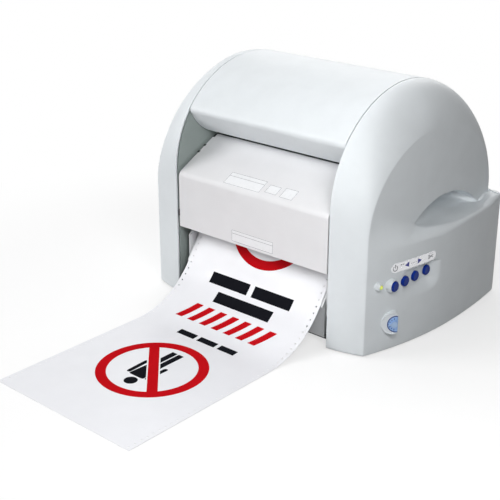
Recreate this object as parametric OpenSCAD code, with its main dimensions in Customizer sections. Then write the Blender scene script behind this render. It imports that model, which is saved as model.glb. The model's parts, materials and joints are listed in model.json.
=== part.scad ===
// Desktop label printer and cutter, with a printed sheet out on the table.
// Millimetres. X runs to the right, Y to the back, Z up.
// The origin is on the table, in the middle of the footprint with the sheet out.

/* [Housing] */
// Room between the sheet's edge and each end of the hood
side_room = 12; // [10.5:0.5:20]
// Gap between the hood and each side cover
seam_gap = 1; // [0.6:0.1:2]
// Half depth of the housing arch at the seams
arch_half_depth = 133; // [130:1:150]
// Height where the arch starts to curve in
arch_spring = 158.5; // [150:0.5:170]
// Rise of the arch above its spring line
arch_rise = 119.5; // [112:0.5:130]
// Wall of every moulded cover
wall = 3; // [2.4:0.1:3.6]
// Height of the covers and the tray above the table
floor_gap = 5; // [3:0.5:8]

/* [Side covers] */
// Width of the bevelled band from the seam to the flat side
bevel_width = 43; // [36:1:50]
// How far the band sets back from the arch at the crease
bevel_depth = 11; // [6:0.5:16]
// How far the crease lies below the arch at the top
crown_drop = 45.5; // [36:0.5:55]
// How far the crease starts to curve below the arch's spring line
crease_lag = 24.5; // [10:0.5:30]
// How far the lower block bulges past the flat side
bulge = 23.5; // [19:0.5:28]
// Place of the widest point of the bulge behind the arch centre
bulge_y = 17; // [0:1:30]
// Height of the lower block's top edge
block_top = 127; // [118:1:134]
// Radius of the block's rear corner
block_corner = 25; // [10:1:35]
// Rounding of the covers' bottom edges
edge_round = 8; // [4:0.5:12]
// Rounding of the block's top edge
shelf_round = 6; // [3:0.5:9]
// Height over which the front of the block fades into the flat side
fade_height = 42; // [30:1:52]
// Length of that fade from the front crease
fade_length = 78; // [50:1:84]

/* [Hand grips] */
// Place of the grip behind the arch centre
grip_y = 25; // [10:1:35]
// Radius of the grip's arched upper edge
grip_radius = 109; // [95:1:130]
// Height of the grip's upper edge above the block top
grip_rise = 23; // [18:1:30]
// Depth of the grip behind the flat side
grip_depth = 16; // [12:1:18]
// Slope of the grip floor, down towards the inside
grip_slope = 15.5; // [10:0.5:18]
// Width of the crest left at the outside of the grip
grip_rim = 4; // [3:0.5:8]

/* [Hood] */
// Distance of the hood's hinge before the rear of the arch
hood_hinge_in = 29; // [27:0.5:35]
// Distance of the hood's hinge below the crown
hood_hinge_drop = 66; // [62:0.5:72]
// Height of the seam between the hood and the rear cover
hood_rear_z = 200; // [196:0.5:204]
// Height where the hood's crown ends and its nose begins
nose_top = 231; // [228:0.5:234]
// Radius of the rounded chin under the nose
chin_radius = 60; // [54:1:70]
// Lowest point of the chin behind the housing front
chin_back = 67; // [64:0.5:70]
// Gap between the chin and the front cover
chin_gap = 1.7; // [1.2:0.1:3]
// Depth of the ribs at the hood's ends
hood_rib = 12; // [8:0.5:14]
// Radius of the hinge pins of the hood and the front cover
hinge_pin_radius = 3; // [2.5:0.1:3.5]

/* [Front cover] */
// Gap between the front cover and each side frame
front_gap = 3; // [2:0.5:5]
// Set-back of the front cover from the housing front
front_setback = 1.5; // [0.5:0.5:4]
// Height of the cover's lower edge
front_bottom = 89; // [86:1:94]
// Height of the bend between its upright and sloping parts
front_bend = 155.5; // [150:0.5:160]
// Radius of that bend
front_round = 8; // [4:0.5:12]
// Angle of the sloping part
front_slope = 27.5; // [24:0.5:30]
// Depth of the stiffening flanges at its two ends
front_flange = 9; // [6:0.5:12]

/* [Sheet] */
// Width of the printed sheet and its roll
sheet_width = 200; // [180:1:200]
// How far the sheet lies out in front of the housing
sheet_reach = 280; // [240:1:340]
// Thickness of the sheet with its backing
sheet_thickness = 0.4; // [0.3:0.05:0.6]
// Distance from the housing front where the sheet touches the table
sheet_landing = 82; // [76:1:88]
// Radius of the curl where the sheet meets the table
curl_radius = 105; // [100:1:110]
// Angle of the sheet where it leaves the printer
exit_angle = 56.4; // [55:0.2:58]
// Free length of the sheet between the curl and the feed roller
drop_length = 82; // [80:0.5:85]

/* [Feed] */
// Radius of the feed roller
feed_radius = 15; // [14:0.2:16]
// Radius of the feed roller's shaft
feed_shaft_radius = 4; // [3:0.1:5]
// Radius of the pinch rollers
pinch_radius = 7; // [6:0.2:8]
// Radius of the pinch shaft
pinch_shaft_radius = 3; // [2:0.1:4]
// Width of one pinch roller
pinch_width = 26; // [16:1:40]
// Teeth on the feed gear
gear_teeth = 60; // [60:1:60]
// Teeth on the motor pinion
pinion_teeth = 20; // [20:1:20]
// Size of one gear tooth, as pitch diameter over teeth
tooth_module = 1; // [0.9:0.02:1.04]
// Width of the gear teeth
gear_width = 7; // [5:0.5:9]

/* [Label roll] */
// Roll axis behind the arch centre
roll_y = 48; // [44:0.5:52]
// Roll axis above the table
roll_z = 92; // [90:0.5:96]
// Outer radius of the roll of sheet
roll_radius = 48; // [44:0.5:50]
// Inner radius of the cardboard core
core_radius = 19; // [15:0.5:24]
// Wall of the cardboard core
core_wall = 3; // [2:0.2:5]
// Radius of the flanges that carry the roll
flange_radius = 51; // [51:0.5:53]
// Radius of the stub axles on the flanges
stub_radius = 5; // [4:0.2:6]

/* [Carriage] */
// Height of the two rails
rail_z = 168; // [166:0.5:172]
// Radius of the rails
rail_radius = 5; // [4:0.1:6]
// Distance from the feed roller back to the front rail
rail_offset = 34; // [32:0.5:36]
// Distance between the two rails
rail_spacing = 34; // [30:0.5:36]
// Width of the carriage
carriage_width = 46; // [40:1:50]
// Distance from the feed roller back to the cutter
cutter_offset = 12; // [11:0.5:13]
// Height of the ribbon box above the carriage
cassette_height = 26; // [22:0.5:28]
// Radius of the pulleys
pulley_radius = 7; // [6:0.2:8]
// Width of the belt
belt_width = 6; // [5:0.5:7]
// Room between a pulley's axis and the side frame
pulley_room = 21.3; // [19:0.1:26]

/* [Controls] */
// Height of the row of buttons
key_z = 79; // [76:0.5:84]
// Radius of the button caps
key_radius = 5.8; // [5:0.1:6.2]
// Travel of a button
key_travel = 2; // [1.5:0.1:2.4]
// Distances of the buttons behind the front crease
key_steps = [31.5, 51, 70, 92];
// How far the floor of the key dish stands out from the flat side
dish_reach = 13.5; // [12.5:0.1:14.5]
// Half height of the key dish
dish_radius = 9.5; // [8.5:0.1:10.5]
// Distance of the lamp behind the front crease
lamp_step = 14; // [12:0.5:16]
// Radius of the lamp
lamp_radius = 2.4; // [2:0.1:3]
// Distance of the dial's straight edge behind the front crease
dial_step = 33; // [31:0.5:37]
// Height of the dial's pivot
dial_z = 36; // [32:0.5:38]
// Radius of the dial's raised face
dial_radius = 12.3; // [11:0.1:13]
// Radius of the dial's coloured plate
dial_plate_radius = 8.7; // [8:0.1:9.5]
// How far the straight edge stands out from the block's side
dial_stand = 10; // [9:0.5:12]
// Angle of the dial's face from the side towards the front
dial_angle = 46; // [40:1:50]

/* [Fits] */
// Radial clearance of turning and sliding fits
running_fit = 0.05; // [0.02:0.01:0.09]
// Gap between a fixed piece and its seat
seat_gap = 0.3; // [0.2:0.05:0.5]
// Gap between the sheet and the rollers
web_gap = 0.3; // [0.2:0.05:0.4]

/* [Hidden] */
$fn = 48;
housing_y = sheet_reach / 2;
hood_width = sheet_width + 2 * side_room;
seam_x = hood_width / 2 + seam_gap;
flat_x = seam_x + bevel_width;
side_x = flat_x + bulge;
arch_top = arch_spring + arch_rise;
crease_half_depth = arch_half_depth - bevel_depth;
crease_spring = arch_spring - crease_lag;
bulge_run = crease_half_depth + bulge_y;
bulge_radius = (pow(bulge_run, 2) + pow(bulge, 2)) / (2 * bulge);
bulge_x = side_x - bulge_radius;
tray_top = floor_gap + wall;
frame_x = seam_x + seat_gap;
frame_wall = 3;
frame_gap = 1.2;
frame_out = frame_x + frame_wall;

// Path of the sheet: flat on the table, a curl, a straight drop, then the roller.
landing_y = -arch_half_depth - sheet_landing;
curl_y = landing_y + curl_radius * sin(exit_angle);
curl_z = curl_radius - curl_radius * cos(exit_angle);
leave_y = curl_y + drop_length * cos(exit_angle);
leave_z = curl_z + drop_length * sin(exit_angle);
wrap_radius = feed_radius + web_gap;
feed_y = leave_y + wrap_radius * sin(exit_angle);
feed_z = leave_z - wrap_radius * cos(exit_angle);
roll_wrap = roll_radius + web_gap;
web_run = norm([roll_y - feed_y, roll_z - feed_z]);
web_angle = atan2(roll_z - feed_z, roll_y - feed_y) + asin((roll_wrap - wrap_radius) / web_run);
web_y = feed_y - wrap_radius * sin(web_angle);
web_z = feed_z + wrap_radius * cos(web_angle);
web_length = sqrt(pow(web_run, 2) - pow(roll_wrap - wrap_radius, 2));
pinch_angle = 122;
pinch_reach = wrap_radius + sheet_thickness + web_gap + pinch_radius;
pinch_y = feed_y + pinch_reach * cos(pinch_angle);
pinch_z = feed_z + pinch_reach * sin(pinch_angle);
pinch_pitch = sheet_width * 0.36;

// Gear pair on the outside of the right frame.
gear_pitch = tooth_module * gear_teeth / 2;
pinion_pitch = tooth_module * pinion_teeth / 2;
mesh_angle = -62;
mesh_play = 0.25;
pinion_y = feed_y + (gear_pitch + pinion_pitch) * cos(mesh_angle);
pinion_z = feed_z + (gear_pitch + pinion_pitch) * sin(mesh_angle);
gear_x = frame_out + 1.5;
motor_half = 17;
motor_length = 32;
motor_shaft_radius = 2.5;

// Front cover line and its hinge.
front_y = -arch_half_depth + front_setback;
front_half_width = frame_x - front_gap;
front_wall = 2.5;
chin_y = -arch_half_depth + chin_back;
chin_z = front_bend + (chin_y - front_y) * tan(front_slope) + chin_gap / cos(front_slope);
front_end_y = chin_y + 4;
front_hinge_y = chin_y - 1;
front_hinge_drop = 6;
front_hinge_z = front_bend + (front_hinge_y - front_y) * tan(front_slope) - front_hinge_drop / cos(front_slope);

// Roll seats.
flange_wall = 3;
flange_x = sheet_width / 2 + 0.6;
stand_wall = 3.5;
stand_x = flange_x + flange_wall + 1.4;
stub_end = stand_x + stand_wall + 0.4;

// Carriage places.
front_rail_y = feed_y + rail_offset;
rear_rail_y = front_rail_y + rail_spacing;
carriage_front = front_rail_y - 11;
carriage_back = rear_rail_y + 11;
carriage_base = rail_z - 17;
carriage_top = rail_z + 14;
head_y = (front_rail_y + rear_rail_y) / 2;
head_length = 24;
cutter_y = feed_y + cutter_offset;
cutter_radius = 6.5;
cutter_top = rail_z - 6;
blade_radius = 2;
belt_thickness = 1.2;
belt_y = carriage_back + 12;
belt_z = rail_z;
pulley_x = frame_x - pulley_room;
pulley_flange = 2;
clamp_half = 8;
park_x = pulley_x - pulley_radius - pulley_flange - clamp_half;
carriage_motor_radius = 16;
carriage_motor_length = 30;

// Key places on the right side.
dish_x = flat_x + dish_reach;
dish_floor = 3;
dish_wall = 1.5;
key_top = dish_x + 3;
key_back_x = flat_x - 0.5;
key_back_wall = 2.5;
key_stem_radius = 2.5;
key_flange_radius = key_radius + 1.1;
key_flange_top = dish_x - dish_floor - seat_gap;
key_boss_radius = key_flange_radius + 1.3;
switch_height = 3.3;
key_board_x = key_back_x - switch_height - 1.6;
hood_hinge_y = arch_half_depth - hood_hinge_in;
hood_hinge_z = arch_spring + arch_rise - hood_hinge_drop;
key_places = [for (step = key_steps) crease_half_depth - step];
lamp_place = crease_half_depth - lamp_step;
dial_place = crease_half_depth - dial_step;
dial_face_x = barrel_x(-dial_place) + dial_stand;

function mix(a, b, share) = a + (b - a) * share;
function flip(list) = [for (i = [len(list) - 1:-1:0]) list[i]];
function bend(a, b, c, t) = pow(1 - t, 2) * a + 2 * t * (1 - t) * b + pow(t, 2) * c;
function barrel_x(y) = bulge_x + sqrt(pow(bulge_radius, 2) - pow(y - bulge_y, 2));
function turn(v, angle) = [v.x * cos(angle) - v.y * sin(angle), v.x * sin(angle) + v.y * cos(angle)];

// Half outline of the arch at one place across the bevelled band, from 0 at the seam to 90 at the crease.
function band_x(tau) = seam_x + bevel_width * sin(tau);
function band_depth(tau) = arch_half_depth - bevel_depth * (0.45 * sin(tau) + 0.55 * (1 - cos(tau)));
function band_spring(tau) = arch_spring - crease_lag * (1 - cos(tau));
function band_top(tau) = arch_top - crown_drop * (1 - cos(tau));
function arch_line(tau, inset, base) =
    let (depth = band_depth(tau) - inset)
    let (spring = band_spring(tau))
    let (rise = band_top(tau) - inset - spring)
    concat([[-depth, base]],
        [for (i = [0:28]) [-depth * cos(i * 180 / 28), spring + rise * sin(i * 180 / 28)]],
        [[depth, base]]);

// Hood outline from the rear seam over the crown and round the nose to the chin.
chin_start = [-arch_half_depth + 27.8, chin_z + 28.6];
chin_end = [chin_y, chin_z];
chin_chord = chin_end - chin_start;
chin_centre = (chin_start + chin_end) / 2
    + sqrt(pow(chin_radius, 2) - pow(norm(chin_chord) / 2, 2)) * turn(chin_chord, 90) / norm(chin_chord);
chin_from = atan2(chin_start.y - chin_centre.y, chin_start.x - chin_centre.x) + 360;
chin_to = atan2(chin_end.y - chin_centre.y, chin_end.x - chin_centre.x) + 360;
crown_from = asin((hood_rear_z - arch_spring) / arch_rise);
crown_to = 180 - asin((nose_top - arch_spring) / arch_rise);
function crown_point(angle, inset) =
    [(arch_half_depth - inset) * cos(angle), arch_spring + (arch_rise - inset) * sin(angle)];
function chin_point(angle, inset) = chin_centre + (chin_radius - inset) * [cos(angle), sin(angle)];
function nose_corner(inset) = [-arch_half_depth + 22.5 + 1.25 * inset, nose_top - 5.5 + 0.1 * inset];
function crown_line(inset) = [for (i = [0:30]) crown_point(mix(crown_from, crown_to, i / 30), inset)];
function hood_line(inset) = concat(crown_line(inset),
    [for (i = [1:5]) bend(crown_point(crown_to, inset), nose_corner(inset), chin_point(chin_from, inset), i / 6)],
    [for (i = [0:8]) chin_point(mix(chin_from, chin_to, i / 8), inset)]);

// Tooth outline with straight flanks and a little play.
function gear_line(teeth, phase) =
    let (pitch = tooth_module * teeth / 2)
    let (half = (180 / teeth) / 2 - mesh_play / 2 / pitch * 180 / PI)
    let (taper = tooth_module * tan(20) / pitch * 180 / PI)
    [for (i = [0:teeth - 1], corner = [[-1, -1.25], [-1, 1], [1, 1], [1, -1.25]])
        let (radius = pitch + tooth_module * corner.y)
        let (angle = phase + i * 360 / teeth + corner.x * (half - taper * corner.y))
        [radius * cos(angle), radius * sin(angle)]];

// Drawing in the side view: 2D x becomes Y and 2D y becomes Z, and the extrusion runs along X.
module along_x(from, length) {
    translate([from, 0, 0]) rotate([90, 0, 90]) linear_extrude(length) children();
}

module rod_x(from, length, radius, y, z) {
    translate([from, y, z]) rotate([0, 90, 0]) cylinder(h = length, r = radius);
}

module rod_y(from, length, radius, x, z) {
    translate([x, from, z]) rotate([-90, 0, 0]) cylinder(h = length, r = radius);
}

module slab(x, y, z) {
    translate([x[0], y[0], z[0]]) cube([x[1] - x[0], y[1] - y[0], z[1] - z[0]]);
}

module both_sides() {
    children();
    mirror([1, 0, 0]) children();
}

// Closed body through a row of outlines that all have the same number of points.
module loft(rings) {
    count = len(rings[0]);
    last = len(rings) - 1;
    sides = [for (r = [0:last - 1], i = [0:count - 1])
        let (j = (i + 1) % count)
        each [[r * count + i, r * count + j, (r + 1) * count + i],
            [r * count + j, (r + 1) * count + j, (r + 1) * count + i]]];
    near_cap = [for (i = [count - 1:-1:0]) i];
    far_cap = [for (i = [0:count - 1]) last * count + i];
    polyhedron([for (ring = rings) each ring], concat([near_cap], sides, [far_cap]));
}

// Arch body of a side cover, lofted through sections of the bevelled band.
module arch_body(inset) {
    loft([for (tau = [0:15:90])
        [for (p = arch_line(tau, inset, floor_gap + inset)) [band_x(tau) - inset, p.x, p.y]]]);
}

// Plan outline of the lower block: a barrel side that runs on into a round rear corner.
corner_y = arch_half_depth - block_corner;
corner_turn = asin((corner_y - bulge_y) / (bulge_radius - block_corner));
corner_x = bulge_x + (bulge_radius - block_corner) * cos(corner_turn);
barrel_end = bulge_y + bulge_radius * sin(corner_turn);
function block_line(inset, inner_x) =
    let (front = -crease_half_depth + inset)
    concat([[inner_x, front]],
        [for (i = [0:16]) let (y = mix(front, barrel_end, i / 16)) [barrel_x(y) - inset, y]],
        [for (i = [1:8]) let (angle = mix(corner_turn, 90, i / 8))
            [corner_x, corner_y] + (block_corner - inset) * [cos(angle), sin(angle)]],
        [[inner_x, arch_half_depth - inset]]);

module block_body(inset) {
    inner_x = seam_x + (inset > 0 ? -1 : 0.3);
    base = floor_gap + inset + 0.05;
    levels = [[edge_round, base], [edge_round * 0.3, base + edge_round * 0.3], [0, base + edge_round],
        [0, block_top - inset - shelf_round], [shelf_round * 0.3, block_top - inset - shelf_round * 0.3],
        [shelf_round, block_top - inset]];
    loft([for (level = flip(levels)) [for (p = block_line(inset + level[0], inner_x)) [p.x, p.y, level[1]]]]);
}

// The front of the block rises and fades into the flat side; the fade gets lower towards the back.
function ease(share) = (1 - cos(180 * min(1, max(0, share)))) / 2;
module block_fade() {
    fade_base = block_top - shelf_round;
    front = -crease_half_depth + 0.6;
    levels = 8;
    loft([for (level = [levels:-1:0])
        let (z = fade_base + fade_height * level / levels)
        concat([[flat_x - 5, front, z]],
            [for (i = [0:12])
                let (y = front + fade_length * i / 12)
                let (height = mix(fade_height, shelf_round, ease(i / 12)))
                [mix(barrel_x(y) - 0.02, flat_x - 0.3, ease((z - fade_base) / height)), y, z]],
            [[flat_x - 5, front + fade_length, z]])]);
}

// Arched hollow behind the flat side, with a floor that slopes down from the block's crest.
module grip_pocket(grow) {
    reach = grip_depth + bulge + 20;
    intersection() {
        rod_x(flat_x - grip_depth - grow, reach, grip_radius + grow, grip_y, block_top + grip_rise - grip_radius);
        translate([side_x - grip_rim, grip_y, block_top - grow]) rotate([0, -grip_slope, 0])
            slab([-2 * reach, 2 * reach], [-grip_radius, grip_radius], [0, grip_radius]);
    }
}

module cover_shell() {
    difference() {
        union() {
            arch_body(0);
            block_body(0);
            block_fade();
        }
        difference() {
            union() {
                arch_body(wall);
                block_body(wall);
            }
            grip_pocket(wall);
        }
        grip_pocket(0);
    }
}

module left_side_cover() {
    color("whitesmoke") mirror([1, 0, 0]) cover_shell();
}

// The dial stands on a half-round boss that is turned towards the front.
module dial_frame() {
    translate([dial_face_x, -dial_place, dial_z]) rotate([0, 0, -dial_angle]) rotate([0, 90, 0]) children();
}

module dial_outline(radius, centre) {
    intersection() {
        translate([0, -centre]) circle(r = radius, $fn = 96);
        translate([-2 * radius, -4 * radius]) square([4 * radius, 4 * radius]);
    }
}

module right_side_cover() {
    color("whitesmoke")
    difference() {
        union() {
            cover_shell();
            dial_frame() translate([0, 0, -24]) linear_extrude(24) dial_outline(dial_radius, dial_radius / 2);
            rod_x(flat_x - 4, barrel_x(-lamp_place) - flat_x + 7.5, lamp_radius + 1.6, -lamp_place, key_z + 3);
        }
        key_dish(seat_gap, key_back_x + key_back_wall, 2 * side_x);
        rod_x(key_back_x + key_back_wall, bulge, key_boss_radius + seat_gap, -key_places[0], key_z);
        rod_x(flat_x - 10, bulge + 20, lamp_radius + running_fit, -lamp_place, key_z + 3);
        dial_frame() translate([0, 0, -7]) translate([0, -dial_pivot_in, 0])
            cylinder(h = 10, r = dial_stem_radius + running_fit);
    }
}

module left_frame() {
    color("slategray") mirror([1, 0, 0]) side_frame();
}

module right_frame() {
    color("slategray") difference() {
        side_frame();
        rod_x(frame_x - 1, frame_wall + 2, motor_shaft_radius + 3, pinion_y, pinion_z);
    }
}

// Flat frame that closes the inside of a side cover and carries the shafts.
module side_frame() {
    difference() {
        along_x(frame_x, frame_wall) polygon(arch_line(0, wall + frame_gap, tray_top + seat_gap));
        rod_x(frame_x - 1, frame_wall + 2, hinge_pin_radius, hood_hinge_y, hood_hinge_z);
        rod_x(frame_x - 1, frame_wall + 2, hinge_pin_radius, front_hinge_y, front_hinge_z);
        rod_x(frame_x - 1, frame_wall + 2, feed_shaft_radius + 3, feed_y, feed_z);
        rod_x(frame_x - 1, frame_wall + 2, pinch_shaft_radius + running_fit, pinch_y, pinch_z);
        rod_x(frame_x - 1, frame_wall + 2, rail_radius, front_rail_y, rail_z);
        rod_x(frame_x - 1, frame_wall + 2, rail_radius, rear_rail_y, rail_z);
    }
}

module base_tray() {
    tray_front = -crease_half_depth + front_setback + 0.5;
    tray_back = arch_half_depth - wall - seat_gap;
    color("dimgray") {
        difference() {
            slab([-seam_x, seam_x], [tray_front, tray_back], [floor_gap, tray_top]);
            for (x = [-60:15:60])
                slab([x - 2, x + 2], [roll_y - 30, roll_y + 30], [0, tray_top + 1]);
        }
        both_sides() slab([seam_x - 2.5, seam_x], [tray_front + 6, tray_back - 4], [tray_top - 0.5, tray_top + 14]);
    }
}

foot_radius = 9;
foot_x = flat_x - 2 * foot_radius;
foot_front_y = -crease_half_depth + 30;
foot_rear_y = crease_half_depth - 24;

module rubber_feet() {
    color("black") both_sides() for (y = [foot_front_y, foot_rear_y])
        translate([foot_x, y, 0]) {
            cylinder(h = floor_gap, r = foot_radius);
        }
}

module rear_cover() {
    top_from = asin((hood_rear_z - 1.2 - arch_spring) / arch_rise);
    outer = concat([[arch_half_depth, tray_top]],
        [for (i = [0:8]) crown_point(top_from * i / 8, 0)]);
    inner = concat([[arch_half_depth - wall, tray_top]],
        [for (i = [0:8]) crown_point(top_from * i / 8, wall)]);
    color("whitesmoke") difference() {
        along_x(-hood_width / 2, hood_width) polygon(concat(outer, flip(inner)));
        for (x = [hood_width * 0.05:8:hood_width * 0.41], z = [arch_spring * 0.4, arch_spring * 0.63])
            slab([x - 1.6, x + 1.6], [arch_half_depth - wall - 1, arch_half_depth + 1], [z, z + 30]);
        slab([inlet_x - inlet_width / 2 - seat_gap, inlet_x + inlet_width / 2 + seat_gap],
            [0, 2 * arch_half_depth], [port_z - inlet_height / 2 - seat_gap, port_z + inlet_height / 2 + seat_gap]);
        slab([port_x - port_width / 2 - seat_gap, port_x + port_width / 2 + seat_gap],
            [0, 2 * arch_half_depth], [port_z - port_width / 2 - seat_gap, port_z + port_width / 2 + seat_gap]);
    }
}

// Smooth guide under the sheet, with a front leg down to the tray.
module exit_chute() {
    chute_gap = 0.6;
    chute_half = sheet_width / 2 + 2.5;
    chute_wall = 2.5;
    along = [cos(exit_angle), sin(exit_angle)];
    under = [sin(exit_angle), -cos(exit_angle)];
    low = [curl_y, curl_z] + chute_gap * under;
    high = low + (drop_length - 17) * along;
    leg_y = low.x + chute_wall + 2;
    color("gainsboro") {
        along_x(-chute_half, 2 * chute_half)
            polygon([low, high, high + chute_wall * under, [leg_y + chute_wall, low.y + 0.5],
                [leg_y + chute_wall, tray_top], [leg_y, tray_top], [leg_y, low.y - 3], low + [0.5, -2.5]]);
        for (x = [-chute_half + 4:(2 * chute_half - 8) / 6:chute_half - 4])
            along_x(x - 1, 2)
                polygon([[leg_y + 1, tray_top], [leg_y + 1, low.y], high + 1 * under,
                    high + 9 * under, [leg_y + 15, tray_top]]);
    }
}

module top_cover() {
    color("whitesmoke") difference() {
        union() {
            along_x(-hood_width / 2, hood_width) polygon(concat(hood_line(0), flip(hood_line(wall))));
            both_sides() along_x(hood_width / 2 - 4, 3) polygon(concat(crown_line(wall - 0.5), flip(crown_line(hood_rib))));
            both_sides() rod_x(hood_width / 2 - 6.5, 5.5, hinge_pin_radius + 5, hood_hinge_y, hood_hinge_z);
        }
        both_sides() rod_x(hood_width / 2 - 12, 14, hinge_pin_radius + running_fit, hood_hinge_y, hood_hinge_z);
    }
}

module hood_hinge_pins() {
    color("silver") both_sides() {
        rod_x(hood_width / 2 - 8, frame_out - hood_width / 2 + 8, hinge_pin_radius, hood_hinge_y, hood_hinge_z);
        rod_x(frame_out, 2, hinge_pin_radius + 2, hood_hinge_y, hood_hinge_z);
    }
}

// Bend of the front cover, at a depth below its outer face.
function front_arc(inset) =
    let (centre = [front_y + front_round, front_bend - front_round * tan((90 - front_slope) / 2)])
    [for (i = [0:6]) let (angle = mix(180, 90 + front_slope, i / 6))
        centre + (front_round - inset) * [cos(angle), sin(angle)]];

// Bent cover over the exit, hung from its upper edge.
module front_cover() {
    out = [-sin(front_slope), cos(front_slope)];
    corner = [front_y, front_bend];
    tip = [front_end_y, front_bend + (front_end_y - front_y) * tan(front_slope)];
    sheet_line = concat([[front_y, front_bottom]], front_arc(0), [tip]);
    inner_line = concat([[front_y + front_wall, front_bottom]], front_arc(front_wall), [tip - front_wall * out]);
    flange_line = [[front_y + front_flange, front_bottom + 6], [front_y + front_flange, front_bend - 5.5],
        tip - front_flange * out - [10, 5.3]];
    color("white") difference() {
        union() {
            along_x(-front_half_width, 2 * front_half_width) polygon(concat(sheet_line, flip(inner_line)));
            both_sides() along_x(front_half_width - 2.2, 2.2)
                polygon(concat([[front_y + 1, front_bottom]], front_arc(1), [tip - [10, 6]], flip(flange_line)));
            both_sides() rod_x(front_half_width - 6, 6, hinge_pin_radius + 2.6, front_hinge_y, front_hinge_z);
        }
        both_sides() rod_x(front_half_width - 10, 14, hinge_pin_radius + running_fit, front_hinge_y, front_hinge_z);
        for (step = [0.3, 0.62])
            both_sides() along_x(front_half_width - 1.4, 2)
                translate(mix(corner, tip, step) - 5 * out) rotate(front_slope) square([5, 2.6], center = true);
    }
}

module front_hinge_pins() {
    color("silver") both_sides() {
        rod_x(front_half_width - 8, frame_out - front_half_width + 8, hinge_pin_radius, front_hinge_y, front_hinge_z);
        rod_x(frame_out, 2, hinge_pin_radius + 2, front_hinge_y, front_hinge_z);
    }
}

// Round-ended dish of the three keys, open towards the right.
module key_dish(grow, from, to) {
    rod_x(from, to - from, dish_radius + dish_wall + grow, -key_places[1], key_z);
    rod_x(from, to - from, dish_radius + dish_wall + grow, -key_places[3], key_z);
    slab([from, to], [-key_places[1], -key_places[3]],
        [key_z - dish_radius - dish_wall - grow, key_z + dish_radius + dish_wall + grow]);
}

module control_bezel() {
    color("whitesmoke") difference() {
        union() {
            intersection() {
                key_dish(0, dish_x - dish_floor, side_x);
                translate([bulge_x, bulge_y, 0]) cylinder(h = arch_top, r = bulge_radius, $fn = 240);
            }
            slab([key_back_x, key_back_x + key_back_wall], [-key_places[0] - 8, -key_places[3] + 8],
                [key_z - dish_radius, key_z + dish_radius]);
            for (y = [-(key_places[1] + key_places[2]) / 2, -(key_places[2] + key_places[3]) / 2])
                slab([key_back_x, dish_x - 1], [y - 1, y + 1], [key_z - dish_radius, key_z + dish_radius]);
            rod_x(key_back_x, dish_x - key_back_x + 0.8, key_boss_radius, -key_places[0], key_z);
        }
        key_dish(-dish_wall, dish_x, 2 * side_x);
        for (place = key_places) {
            rod_x(key_back_x - 1, side_x, key_stem_radius + running_fit, -place, key_z);
            rod_x(dish_x - dish_floor - 1, side_x, key_radius + running_fit, -place, key_z);
        }
        rod_x(key_back_x + key_back_wall, dish_x - dish_floor - key_back_x - key_back_wall,
            key_flange_radius + 0.2, -key_places[0], key_z);
    }
}

// Button with a crowned cap, a stop flange and a stem to its switch.
module key_button(place) {
    rod_x(key_flange_top - 2.4, 2.4, key_flange_radius, -place, key_z);
    rod_x(key_flange_top - 0.2, key_top - key_flange_top - 0.6, key_radius, -place, key_z);
    translate([key_top - 0.8, -place, key_z]) rotate([0, 90, 0]) cylinder(h = 0.8, r1 = key_radius, r2 = key_radius - 0.8);
    rod_x(key_back_x + key_travel + 0.1 - seat_gap, key_flange_top - key_back_x - key_travel, key_stem_radius, -place, key_z);
}

module power_button() {
    color("mediumblue") key_button(key_places[0]);
}

module reverse_button() {
    color("mediumblue") key_button(key_places[1]);
}

module feed_button() {
    color("mediumblue") key_button(key_places[2]);
}

module cut_button() {
    color("mediumblue") key_button(key_places[3]);
}

module key_board() {
    color("darkgreen") {
        slab([key_board_x, key_board_x + 1.6], [-key_places[0] - 10, -key_places[3] + 10],
            [key_z - dish_radius - 2, key_z + dish_radius + 2]);
        for (place = key_places) {
            slab([key_board_x + 1.5, key_board_x + 1.6 + switch_height * 0.7], [-place - 3, -place + 3], [key_z - 3, key_z + 3]);
            rod_x(key_board_x + 1.6, switch_height - 0.4, 1.6, -place, key_z);
        }
        for (y = [-key_places[0] + 8.5, -key_places[3] - 9])
            rod_x(key_board_x + 1.5, switch_height + 0.1, 1.8, y, key_z + dish_radius - 2);
        slab([key_board_x - 5, key_board_x + 0.1], [-key_places[2] - 2 * key_radius, -key_places[2] + 2], [key_z - 6, key_z + 2]);
    }
}

module status_lamp() {
    color("yellowgreen") {
        rod_x(flat_x - 5, barrel_x(-lamp_place) - flat_x + 9, lamp_radius, -lamp_place, key_z + 3);
        translate([barrel_x(-lamp_place) + 4, -lamp_place, key_z + 3]) sphere(r = lamp_radius);
    }
}

dial_pivot_in = 4;
dial_stem_radius = 2;
dial_knob_radius = 4;
dial_plate_wall = 0.8;

module dial_plate() {
    color("lightsteelblue") dial_frame() difference() {
        linear_extrude(dial_plate_wall) dial_outline(dial_plate_radius, dial_pivot_in / 2);
        translate([0, -dial_pivot_in, -1]) cylinder(h = 4, r = dial_stem_radius + 0.4);
    }
}

module dial_knob() {
    color("lightsteelblue") dial_frame() translate([0, -dial_pivot_in, 0]) {
        translate([0, 0, -6]) cylinder(h = 6.5 + dial_plate_wall + seat_gap, r = dial_stem_radius);
        translate([0, 0, dial_plate_wall + seat_gap]) cylinder(h = 1.6, r = dial_knob_radius - 0.6);
        translate([-0.9, -dial_knob_radius - 2, dial_plate_wall + seat_gap]) cube([1.8, dial_knob_radius + 2, 1.6]);
    }
}

module label_roll() {
    color("ivory") difference() {
        rod_x(-sheet_width / 2, sheet_width, roll_radius, roll_y, roll_z);
        rod_x(-sheet_width / 2 - 1, sheet_width + 2, core_radius + core_wall + 0.05, roll_y, roll_z);
    }
}

module roll_core() {
    color("burlywood") difference() {
        rod_x(-sheet_width / 2, sheet_width, core_radius + core_wall, roll_y, roll_z);
        rod_x(-sheet_width / 2 - 1, sheet_width + 2, core_radius, roll_y, roll_z);
    }
}

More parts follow.
